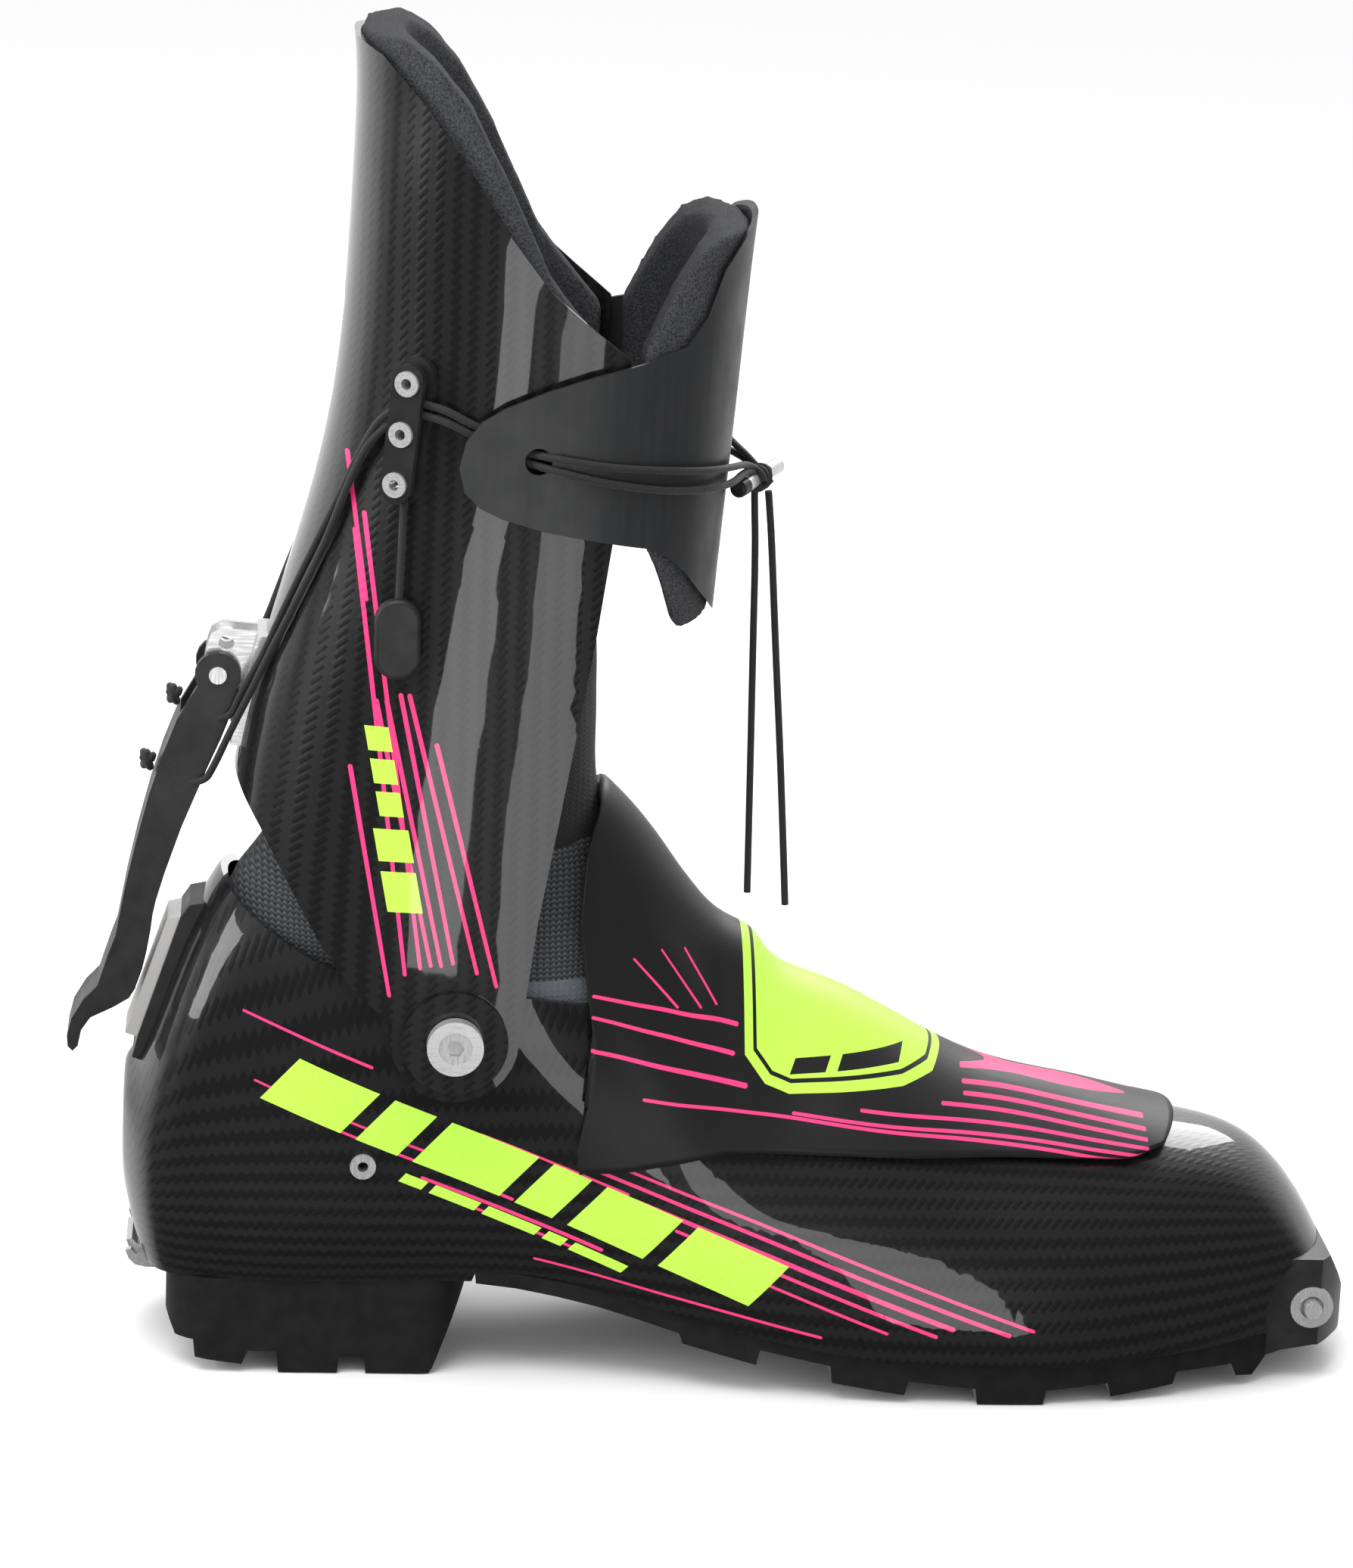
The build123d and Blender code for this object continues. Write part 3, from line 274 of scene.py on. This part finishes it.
def gaiter_fabric():
    s = Surface("gaiter_fabric", BLACK, 0.46, Specular_IOR_Level=0.42, Sheen_Weight=0.04)
    side = s.joined(s.x, s.z)
    lines = [
        ((-34, 101), (2, 90.5), 1.0), ((-34, 96), (1, 84.5), 1.0), ((-34, 88), (4, 77.5), 1.2),
        ((-24, 108), (-13, 96), 0.6), ((-17, 109), (-7, 95), 0.5), ((-11, 108), (-3, 95), 0.5),
        ((106, 65.1), (60, 75.3), 0.75), ((106, 63.3), (60, 73.0), 0.75), ((106, 61.7), (60, 71.1), 0.75),
        ((106, 60.2), (54, 70.2), 0.75), ((106, 58.8), (33, 71.0), 0.75), ((106, 57.4), (16, 71.0), 0.75),
        ((106, 56.0), (-21, 75.8), 0.8),
    ]
    pink = any_of(s, [stroke(s, side, a, b, w) for a, b, w in lines])
    badge = [(4, 84), (9, 77.5), (15, 75), (44, 74.6), (52, 76), (57, 81), (57, 140), (4, 140)]
    depth = inside_of(s, side, badge)
    lime = s.math("GREATER_THAN", depth, 0.0)
    rim = s.math("COMPARE", depth, 2.6, 0.45)
    bars = blocks(s, side, (16, 80.5), 0, 0, 3.2, [(0, 9), (12, 28)], 0.5)
    dark = s.math("MAXIMUM", rim, bars)
    lime = s.math("MULTIPLY", lime, s.math("SUBTRACT", 1.0, dark))
    around_badge = s.math("GREATER_THAN", depth, -1.2)
    pink = s.math("MULTIPLY", pink, s.math("SUBTRACT", 1.0, around_badge))
    s.bump(s.grain(0.7, 3), 0.05, 0.6)
    return printed(s, (0.009, 0.009, 0.0095, 1), pink, lime)


def plastic(name, color, roughness, grain=0.6, depth=0.03, **plain):
    """Moulded plastic or rubber with fine grain, and a little duller in patches."""
    s = Surface(name, color, roughness, **plain)
    patches = s.grain(14, 3)
    s.put("Roughness", s.ramp(patches, 0.3, 0.7, roughness - 0.05, roughness + 0.07))
    lighter = tuple(1.7 * c for c in color)
    s.put("Base Color", s.mixed(s.ramp(s.grain(5, 4), 0.35, 0.75), (*color, 1), (*lighter, 1)))
    s.bump(s.grain(grain, 3), depth, 0.7)
    return s.material


def tongue_plastic():
    s = Surface("tongue_plastic", (0.02, 0.021, 0.022), 0.4, Specular_IOR_Level=0.5)
    streaks = s.grain(1.4, 3, (1, 1, 0.05))
    s.put("Base Color", s.mixed(streaks, (0.015, 0.016, 0.017, 1), (0.026, 0.027, 0.029, 1)))
    s.put("Roughness", s.ramp(s.grain(9, 3), 0.3, 0.7, 0.34, 0.46))
    s.bump(streaks, 0.03, 0.5)
    return s.material


def metal(name, color, roughness, stretch):
    s = Surface(name, color, roughness, Metallic=0.7)
    lines = s.grain(0.5, 3, stretch)
    s.put("Roughness", s.ramp(lines, 0.3, 0.7, roughness - 0.07, roughness + 0.1))
    s.put("Base Color", s.mixed(s.grain(3, 3), (*color, 1), (*(0.92 * c for c in color), 1)))
    s.bump(lines, 0.004, 0.4)
    return s.material


def foam():
    s = Surface("foam", (0.03, 0.031, 0.034), 0.85, Specular_IOR_Level=0.25)
    cells = s.grain(0.55, 3)
    s.put("Base Color", s.mixed(s.ramp(cells, 0.3, 0.72), (0.014, 0.014, 0.016, 1), (0.062, 0.064, 0.07, 1)))
    s.bump(cells, 0.28, 0.9)
    return s.material


def stitch_height(s, place_x, place_z, pitch):
    """Rows of small knitted loops."""
    u = s.math("MULTIPLY", place_x, 1 / pitch)
    lean = s.math("ABSOLUTE", s.math("SUBTRACT", s.math("FRACT", u), 0.5))
    v = s.math("MULTIPLY_ADD", place_z, 1.25 / pitch, s.math("MULTIPLY", lean, 1.1))
    loop = s.math("ABSOLUTE", s.math("SUBTRACT", s.math("FRACT", v), 0.5))
    column = s.math("MULTIPLY", lean, 2.0)
    return s.math("MULTIPLY", s.math("MULTIPLY", loop, 2.0), s.math("SQRT", s.math("SUBTRACT", 1.05, column)))


def liner_fabric():
    s = Surface("liner_fabric", (0.05, 0.052, 0.056), 0.85, Sheen_Weight=0.1, Specular_IOR_Level=0.2)
    wander = s.math("MULTIPLY_ADD", s.grain(18, 2), 3.0, s.x)
    loops = stitch_height(s, wander, s.z, 1.5)
    knit = s.mixed(loops, (0.012, 0.0125, 0.014, 1), (0.105, 0.112, 0.122, 1))
    leather = s.mixed(s.grain(1.1, 3), (0.085, 0.093, 0.108, 1), (0.135, 0.146, 0.166, 1))
    front = s.math("MULTIPLY", s.math("LESS_THAN", s.z, 104.0), s.math("GREATER_THAN", s.x, -60.0))
    soft = s.mixed(front, knit, leather)
    dark = s.math("GREATER_THAN", s.math("MULTIPLY_ADD", s.grain(24, 2), 6.0, s.z), 138.0)
    s.put("Base Color", s.mixed(dark, soft, (0.012, 0.012, 0.013, 1)))
    s.bump(loops, 0.3, 0.8)
    return s.material


def felt(name, color):
    s = Surface(name, color, 0.9, Sheen_Weight=0.1)
    fibres = s.grain(0.6, 4, (1, 0.4, 1))
    s.put("Base Color", s.mixed(fibres, (*(0.6 * c for c in color), 1), (*(1.5 * c for c in color), 1)))
    s.bump(fibres, 0.15, 0.8)
    return s.material


def braid():
    s = Surface("cord_braid", (0.012, 0.012, 0.013), 0.62, Sheen_Weight=0.12, Specular_IOR_Level=0.4)
    a = s.math("SINE", s.math("MULTIPLY", s.math("ADD", s.z, s.x), 7.5))
    b = s.math("SINE", s.math("MULTIPLY", s.math("SUBTRACT", s.z, s.x), 7.5))
    weave = s.math("MULTIPLY_ADD", s.math("MULTIPLY", a, b), 0.5, 0.5)
    s.put("Base Color", s.mixed(weave, (0.006, 0.006, 0.007, 1), (0.028, 0.028, 0.03, 1)))
    s.bump(weave, 0.12, 0.8)
    return s.material


MATERIAL = {
    "shell": shell_carbon(),
    "cuff": cuff_carbon(),
    "gaiter": gaiter_fabric(),
    "sole": plastic("sole_rubber", (0.0065, 0.0065, 0.007), 0.6, 0.8, 0.06, Specular_IOR_Level=0.35),
    "toe": plastic("toe_plastic", (0.012, 0.012, 0.013), 0.4),
    "guide": plastic("guide_plastic", (0.011, 0.011, 0.012), 0.34),
    "lever": plastic("lever_plastic", (0.012, 0.012, 0.013), 0.38),
    "tab": plastic("tab_rubber", (0.013, 0.013, 0.013), 0.5, 0.5, 0.05),
    "tongue": tongue_plastic(),
    "steel": metal("steel", (0.72, 0.72, 0.73), 0.27, (1, 1, 0.1)),
    "aluminium": metal("aluminium", (0.8, 0.8, 0.81), 0.3, (0.1, 1, 1)),
    "light_metal": metal("light_metal", (0.8, 0.79, 0.77), 0.36, (1, 0.1, 1)),
    "foam": foam(),
    "liner": liner_fabric(),
    "insole": felt("insole_felt", (0.045, 0.046, 0.05)),
    "cord": braid(),
}

CAD_LOOKS = {
    "lower_shell": "shell", "cuff_shell": "cuff", "heel_sole": "sole", "forefoot_sole": "sole",
    "toe_block": "toe", "toe_insert": "steel", "heel_fitting": "steel", "heel_fitting_screw": "steel",
    "lock_plate": "light_metal", "lock_pad": "toe", "lock_screws": "steel", "shell_rivets": "steel",
    "pivot_barrels": "aluminium", "pivot_spacers": "toe", "pivot_caps": "aluminium",
    "pivot_screws": "steel", "bracket_rivets": "aluminium", "guide_rivets": "aluminium",
    "guide_bases": "toe", "guide_plates": "guide", "lever_bracket": "aluminium", "lever_pin": "steel",
    "lever": "lever", "lever_latch": "lever", "tongue_plate": "tongue", "toggle": "aluminium",
    "toggle_cap": "guide", "pull_tab": "tab",
}
for name, look in CAD_LOOKS.items():
    for part_slot in NODE[name].material_slots:
        part_slot.link = "OBJECT"
        part_slot.material = MATERIAL[look]


# ---- pieces ------------------------------------------------------------------
def new_piece(name, mesh, look):
    piece = bpy.data.objects.new(name, mesh)
    bpy.context.collection.objects.link(piece)
    mesh.materials.clear()
    mesh.materials.append(MATERIAL[look])
    return piece


def baked(piece):
    """Applies every modifier to the piece's mesh."""
    bpy.context.view_layer.update()
    done = piece.evaluated_get(bpy.context.evaluated_depsgraph_get())
    mesh = bpy.data.meshes.new_from_object(done)
    piece.modifiers.clear()
    piece.data = mesh
    return piece


def smooth_faces(mesh):
    mesh.polygons.foreach_set("use_smooth", [True] * len(mesh.polygons))


def soft_copy(name, node, look, voxel, rounds, swell):
    """A soft piece made from a CAD solid: remeshed, rounded, and moved out by swell millimetres."""
    piece = new_piece(name, NODE[node].data.copy(), look)
    remesh = piece.modifiers.new("remesh", "REMESH")
    remesh.mode = "VOXEL"
    remesh.voxel_size = voxel * MM
    rounding = piece.modifiers.new("round", "SMOOTH")
    rounding.factor = 0.5
    rounding.iterations = rounds
    baked(piece)
    mesh = piece.data
    normals = [v.normal.copy() for v in mesh.vertices]
    for vertex, normal in zip(mesh.vertices, normals):
        vertex.co += swell(vertex.co) * MM * normal
    smooth_faces(mesh)
    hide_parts(node)
    return piece


def lumps(place, size):
    return noise.noise(place / (size * MM))


def pad_swell(place):
    return 0.35 * lumps(place, 17) + 0.12 * lumps(place, 4)


def liner_swell(place):
    """Soft creases round the ankle."""
    ankle = max(0.0, 1 - abs(place.z - 0.118) / 0.03)
    crease = sin(place.z * 520 + 3 * lumps(place, 30)) * ankle
    return -0.45 + 0.3 * lumps(place, 13) + 0.35 * crease


inner = soft_copy("inner_boot_soft", "inner_boot", "liner", 1.7, 5, liner_swell)
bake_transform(inner)

insole = soft_copy("insole_felt", "insole", "insole", 2.0, 3, pad_swell)
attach(insole, "lower_shell")

cuff_foam = soft_copy("cuff_foam", "cuff_pad", "foam", 1.5, 3, pad_swell)
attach(cuff_foam, "cuff")

tongue_foam = soft_copy("tongue_foam", "tongue_pad", "foam", 1.5, 3, pad_swell)
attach(tongue_foam, "tongue")


# ---- gaiter ------------------------------------------------------------------
# Side-view lines of the gaiter, in millimetres: lower edge, crest and rear edge.
GAITER_FOOT = [
    (-36, 56.8), (-20, 57.6), (2, 62.4), (30, 61.4), (60, 59.4), (90, 57.6), (101, 57.1), (110.5, 58.6),
]
GAITER_CREST = [
    (-31.8, 143.6), (-12, 122.6), (2, 105.6), (30, 91.6), (60, 75.6), (90, 67.6), (114.8, 61.6),
]
# The rear edge's points are height first, then x.
GAITER_REAR = [
    (56, -35.9), (62, -37), (75, -34.6), (90, -33.6), (101, -35.5), (117, -38), (131, -36.5), (142, -32.2),
]
COLUMNS = 96
ROWS = 73


def gaiter_sheet():
    """One curved sheet over the instep, from its lower edge on one side to that on the other."""
    source = NODE["gaiter"].data
    corners = [v.co for v in source.vertices]
    tree = BVHTree.FromPolygons(corners, [tuple(p.vertices) for p in source.polygons])
    foot, crest, rear = (np.array(line) for line in (GAITER_FOOT, GAITER_CREST, GAITER_REAR))
    places = []
    for column in range(COLUMNS):
        share = column / (COLUMNS - 1)
        low_x = foot[0, 0] + share * (foot[-1, 0] - foot[0, 0])
        high_x = crest[0, 0] + share * (crest[-1, 0] - crest[0, 0])
        low = Vector((low_x, 0, np.interp(low_x, foot[:, 0], foot[:, 1])))
        high = Vector((high_x, 0, np.interp(high_x, crest[:, 0], crest[:, 1])))
        rise = (high - low).normalized()
        rear_share = (1 - share) ** 9
        last = None
        for row in range(ROWS):
            angle = pi * row / (ROWS - 1)
            way = Vector((0, -cos(angle), 0)) + sin(angle) * rise
            start = low.copy()
            for _ in range(3):
                hit = tree.ray_cast((start + 150 * way) * MM, -way, 0.15)[0]
                if hit is None:
                    break
                height = hit.z / MM
                straight = low.x + (high.x - low.x) * (height - low.z) / (high.z - low.z)
                start.x = low.x + rear_share * (np.interp(height, rear[:, 0], rear[:, 1]) - straight)
            last = hit or last
            places.append(last if last is not None else low * MM)
    faces = []
    for column in range(COLUMNS - 1):
        for row in range(ROWS - 1):
            first = column * ROWS + row
            faces.append((first, first + 1, first + ROWS + 1, first + ROWS))
    mesh = bpy.data.meshes.new("gaiter_sheet")
    mesh.from_pydata([tuple(p) for p in places], [], faces)
    mesh.update()
    return mesh


gaiter = new_piece("gaiter_sheet", gaiter_sheet(), "gaiter")
relax = gaiter.modifiers.new("relax", "SMOOTH")
relax.factor = 0.3
relax.iterations = 1
baked(gaiter)


def gaiter_folds(place):
    """How far the fabric stands in or out, in millimetres."""
    x, y, z = place / MM
    instep = exp(-((x - 4) / 6) ** 2 - (y / 24) ** 2)
    bulge = exp(-((x - 17) / 8) ** 2 - (y / 22) ** 2)
    side = max(0.0, 1 - abs(x + 14) / 24) * max(0.0, 1 - abs(z - 96) / 26)
    ripple = sin((x + 0.55 * z) * 0.42 + 1.5 * lumps(place, 22)) * side
    return -3.4 * instep + 0.4 * bulge + 0.45 * ripple + 0.2 * lumps(place, 15) - 0.1


normals = [v.normal.copy() for v in gaiter.data.vertices]
for vertex, normal in zip(gaiter.data.vertices, normals):
    vertex.co += gaiter_folds(vertex.co) * MM * normal
skin = gaiter.modifiers.new("skin", "SOLIDIFY")
skin.thickness = GAITER_THICK * MM
skin.offset = -1
baked(gaiter)
smooth_faces(gaiter.data)
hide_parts("gaiter")
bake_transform(gaiter)


# ---- cords -------------------------------------------------------------------
def cord_piece(name, routes, radius=CORD_R):
    """One curve object with a smooth cord along each route. Routes are in millimetres."""
    data = bpy.data.curves.new(name, "CURVE")
    data.dimensions = "3D"
    data.bevel_depth = radius
    data.bevel_resolution = 3
    data.resolution_u = 10
    data.use_fill_caps = True
    for route in routes:
        spline = data.splines.new("NURBS")
        spline.points.add(len(route) - 1)
        for point, place in zip(spline.points, route):
            point.co = (*(Vector(place) * MM), 1)
        spline.order_u = 3
        spline.use_endpoint_u = True
    data.materials.append(MATERIAL["cord"])
    piece = bpy.data.objects.new(name, data)
    bpy.context.collection.objects.link(piece)
    return piece


def mirrored(routes):
    return routes + [[(x, -y, z) for x, y, z in route] for route in routes]


def as_mesh(piece):
    """The same cord as a mesh, in place of the curve."""
    bpy.context.view_layer.update()
    mesh = bpy.data.meshes.new_from_object(piece.evaluated_get(bpy.context.evaluated_depsgraph_get()))
    name = piece.name
    bpy.data.objects.remove(piece)
    solid = new_piece(name, mesh, "cord")
    smooth_faces(mesh)
    return solid


UPPER_REAR = [
    (-127.0, -6.5, 160.0), (-122.6, -9.6, 160.6), (-120.4, -11.6, 167.5), (-115.0, -14.0, 178),
    (-109.8, -18.6, 192), (-103.2, -23.8, 208), (-97.8, -28.2, 221), (-93.2, -32.2, 233),
    (-87.8, -36.9, 243.8), (-81.0, -40.6, 246.6),
]
LOWER_REAR = [
    (-133.5, -6.5, 144.0), (-128.9, -9.6, 144.4), (-126.4, -10.4, 149), (-122.6, -12.6, 158.5),
    (-117.6, -14.4, 169.5), (-113.3, -18.2, 180), (-107.3, -22.8, 194), (-100.6, -27.4, 210),
    (-95.8, -31.0, 225), (-89.6, -35.5, 239.4), (-81.2, -40.5, 244.0),
]
rear_cords = as_mesh(cord_piece("closing_cord_rear", mirrored([UPPER_REAR, LOWER_REAR])))
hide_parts("rear_cords")
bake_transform(rear_cords)

UPPER_GUIDE = [
    (-81.4, -40.5, 246.6), (-75.2, -43.75, 246.1), (-69.5, -44.3, 243.2), (-64.0, -44.4, 240.6),
    (-59.0, -44.4, 238.1), (-53.6, -44.7, 235.7),
]
LOWER_GUIDE = [
    (-81.6, -40.4, 244.0), (-75.2, -43.75, 243.4), (-69.4, -44.3, 240.7), (-64.0, -44.4, 238.0),
    (-59.1, -44.4, 235.6), (-53.6, -44.7, 233.3),
]
guide_cords = as_mesh(cord_piece("closing_cord_guide", mirrored([UPPER_GUIDE, LOWER_GUIDE])))
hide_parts("guide_cords")
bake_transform(guide_cords)

UPPER_FRONT = [
    (-53.6, -44.6, 235.7), (-49.6, -48.2, 235.7), (-36.5, -47.2, 233.4), (-22.5, -42.3, 231.9),
    (-10.8, -33.4, 230.2), (-4.3, -21.6, 228.7), (-1.2, -11.0, 227.0), (1.6, -5.0, 225.4),
    (3.4, -2.6, 223.6),
]
LOWER_FRONT = [
    (-53.6, -44.6, 233.3), (-49.6, -48.2, 232.9), (-36.5, -47.2, 229.6), (-22.5, -42.3, 227.0),
    (-10.8, -33.4, 225.6), (-4.3, -21.6, 224.8), (-1.4, -12.0, 224.9), (1.2, -6.0, 224.6),
    (3.0, -2.6, 222.4),
]
front_cords = cord_piece("closing_cord_front", mirrored([UPPER_FRONT, LOWER_FRONT]))
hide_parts("front_cords")
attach(front_cords, "tongue")


def knot_route(center, axis, radius, turns, pitch):
    """Turns wound round an axis, then once over themselves."""
    ahead = Vector(axis).normalized()
    side = ahead.cross(Vector((0, 0, 1))).normalized()
    up = side.cross(ahead)
    route = []
    steps = int(turns * 8)
    for i in range(steps + 1):
        turn = 2 * pi * i / 8
        along = pitch * (i / 8 - turns / 2)
        wobble = 1 + 0.06 * sin(2.3 * i)
        route.append(Vector(center) + along * ahead + radius * wobble * (cos(turn) * side + sin(turn) * up))
    for i in range(1, 10):
        turn = 2 * pi * i / 9
        tilted = cos(turn) * side * 0.95 + sin(turn) * (0.75 * ahead + 0.6 * up)
        route.append(Vector(center) + 1.35 * radius * tilted)
    return [tuple(p) for p in route]


TOGGLE_AXIS = (11.3, 20.0, 1.8)
knot_turns = knot_route((3.3, -2.2, 221.9), TOGGLE_AXIS, 2.75, 2.6, 1.75)
knot = cord_piece("cord_knot_turns", [knot_turns], 0.85 * MM)
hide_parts("cord_knot")
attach(knot, "tongue")

# The two free ends hang from the knot.
HANGING_REAR = [
    (2.6, -3.2, 219.4), (2.7, -3.3, 216), (3.4, -3.6, 205), (3.9, -3.3, 180), (4.6, -3.0, 150),
    (5.2, -3.4, 117.5),
]
HANGING_FRONT = [
    (6.1, -1.7, 218.6), (6.5, -1.6, 215.5), (7.6, -1.2, 205), (9.8, -0.6, 178), (12.6, -1.0, 146),
    (15.0, -0.6, 113.6),
]
for name, node, route, length in (
    ("hanging_end_rear", "hanging_cord_rear", HANGING_REAR, 0.102),
    ("hanging_end_front", "hanging_cord_front", HANGING_FRONT, 0.1055),
):
    end = cord_piece(name, [route])
    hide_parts(node)
    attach(end, "cord_ends")

PULL_ROUTE = [(-82.8, -39.8, 224.5), (-83.0, -40.6, 219), (-83.2, -42.3, 211), (-83.6, -43.9, 197.0)]
pull_cord = cord_piece("pull_tab_cord", [PULL_ROUTE])
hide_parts("pull_cord")
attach(pull_cord, "pull_tab")

lever_knots = cord_piece(
    "lever_knot_turns",
    [knot_route((x, 0, z), (-0.9, 0, 0.45), 1.7, 1.5, 1.6) for x, z in ((-136.6, 164.3), (-142.8, 147.6))],
)
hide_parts("lever_knots")
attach(lever_knots, "lever")


# ---- studio ------------------------------------------------------------------
def flat_panel(name, corners, material):
    mesh = bpy.data.meshes.new(name)
    mesh.from_pydata(corners, [], [tuple(range(len(corners)))])
    mesh.materials.append(material)
    panel = bpy.data.objects.new(name, mesh)
    bpy.context.collection.objects.link(panel)
    return panel


def floor_paint():
    material = bpy.data.materials.new("floor_paint")
    material.use_nodes = True
    shader = next(n for n in material.node_tree.nodes if n.type == "BSDF_PRINCIPLED")
    shader.inputs["Base Color"].default_value = (0.93, 0.93, 0.93, 1)
    shader.inputs["Roughness"].default_value = 1.0
    shader.inputs["Specular IOR Level"].default_value = 0.0
    return material


REACH = 6
FLOOR_Z = -0.0003
corners = [(x * REACH, y * REACH, FLOOR_Z) for x, y in ((-1, -1), (1, -1), (1, 1), (-1, 1))]
floor = flat_panel("floor", corners, floor_paint())
floor.visible_glossy = False


def glow(name, strength):
    material = bpy.data.materials.new(name)
    material.use_nodes = True
    tree = material.node_tree
    tree.nodes.clear()
    out = tree.nodes.new("ShaderNodeOutputMaterial")
    light = tree.nodes.new("ShaderNodeEmission")
    light.inputs["Strength"].default_value = strength
    tree.links.new(light.outputs[0], out.inputs["Surface"])
    return material


def card(name, x0, x1, y, z0, z1, strength, lean=0.0):
    """An upright lit card that shows only in reflections, facing the boot along Y."""
    corners = [(x0, y, z0), (x1, y, z0), (x1 + lean, y, z1), (x0 + lean, y, z1)]
    panel = flat_panel(name, corners, glow(name + "_glow", strength))
    panel.visible_camera = False
    panel.visible_diffuse = False
    panel.visible_shadow = False
    panel.visible_transmission = False


for side in (-1, 1):
    card(f"card_leg_{side + 1}", -0.143, -0.052, side * 0.5, -0.012, 0.172, 3.2)
    card(f"card_foot_{side + 1}", 0.06, 0.22, side * 0.62, -0.20, 0.16, 2.5, -0.07)


def lamp(name, place, target, size, watts):
    data = bpy.data.lights.new(name, "AREA")
    data.size = size
    data.energy = watts
    light = bpy.data.objects.new(name, data)
    light.location = place
    light.rotation_euler = (Vector(target) - Vector(place)).to_track_quat("-Z", "Y").to_euler()
    light.visible_camera = False
    bpy.context.collection.objects.link(light)


lamp("lamp_top", (-0.35, -0.55, 1.5), (0, 0, 0.12), 0.9, 14)
lamp("lamp_back", (0.5, 1.1, 1.0), (0, 0, 0.15), 0.7, 9)
lamp("lamp_left", (-1.2, -0.3, 0.5), (0, 0, 0.15), 0.6, 6)


def studio_world():
    """White to look at and for soft light, and darker in front where the gloss mirrors it."""
    world = bpy.data.worlds.new("studio")
    bpy.context.scene.world = world
    world.use_nodes = True
    tree = world.node_tree
    back = next(n for n in tree.nodes if n.type == "BACKGROUND")
    way = tree.nodes.new("ShaderNodeTexCoord")
    split = tree.nodes.new("ShaderNodeSeparateXYZ")
    fade = tree.nodes.new("ShaderNodeMapRange")
    path = tree.nodes.new("ShaderNodeLightPath")
    pick = tree.nodes.new("ShaderNodeMix")
    tree.links.new(way.outputs["Generated"], split.inputs[0])
    tree.links.new(split.outputs["Y"], fade.inputs["Value"])
    for socket, value in (("From Min", 0.15), ("From Max", 0.55), ("To Min", 0.07), ("To Max", 0.85)):
        fade.inputs[socket].default_value = value
    tree.links.new(path.outputs["Is Glossy Ray"], pick.inputs[0])
    pick.inputs[2].default_value = 1.0
    tree.links.new(fade.outputs[0], pick.inputs[3])
    tree.links.new(pick.outputs[0], back.inputs["Strength"])
    back.inputs["Color"].default_value = (1, 1, 1, 1)


studio_world()
bpy.context.scene.view_settings.view_transform = "Standard"
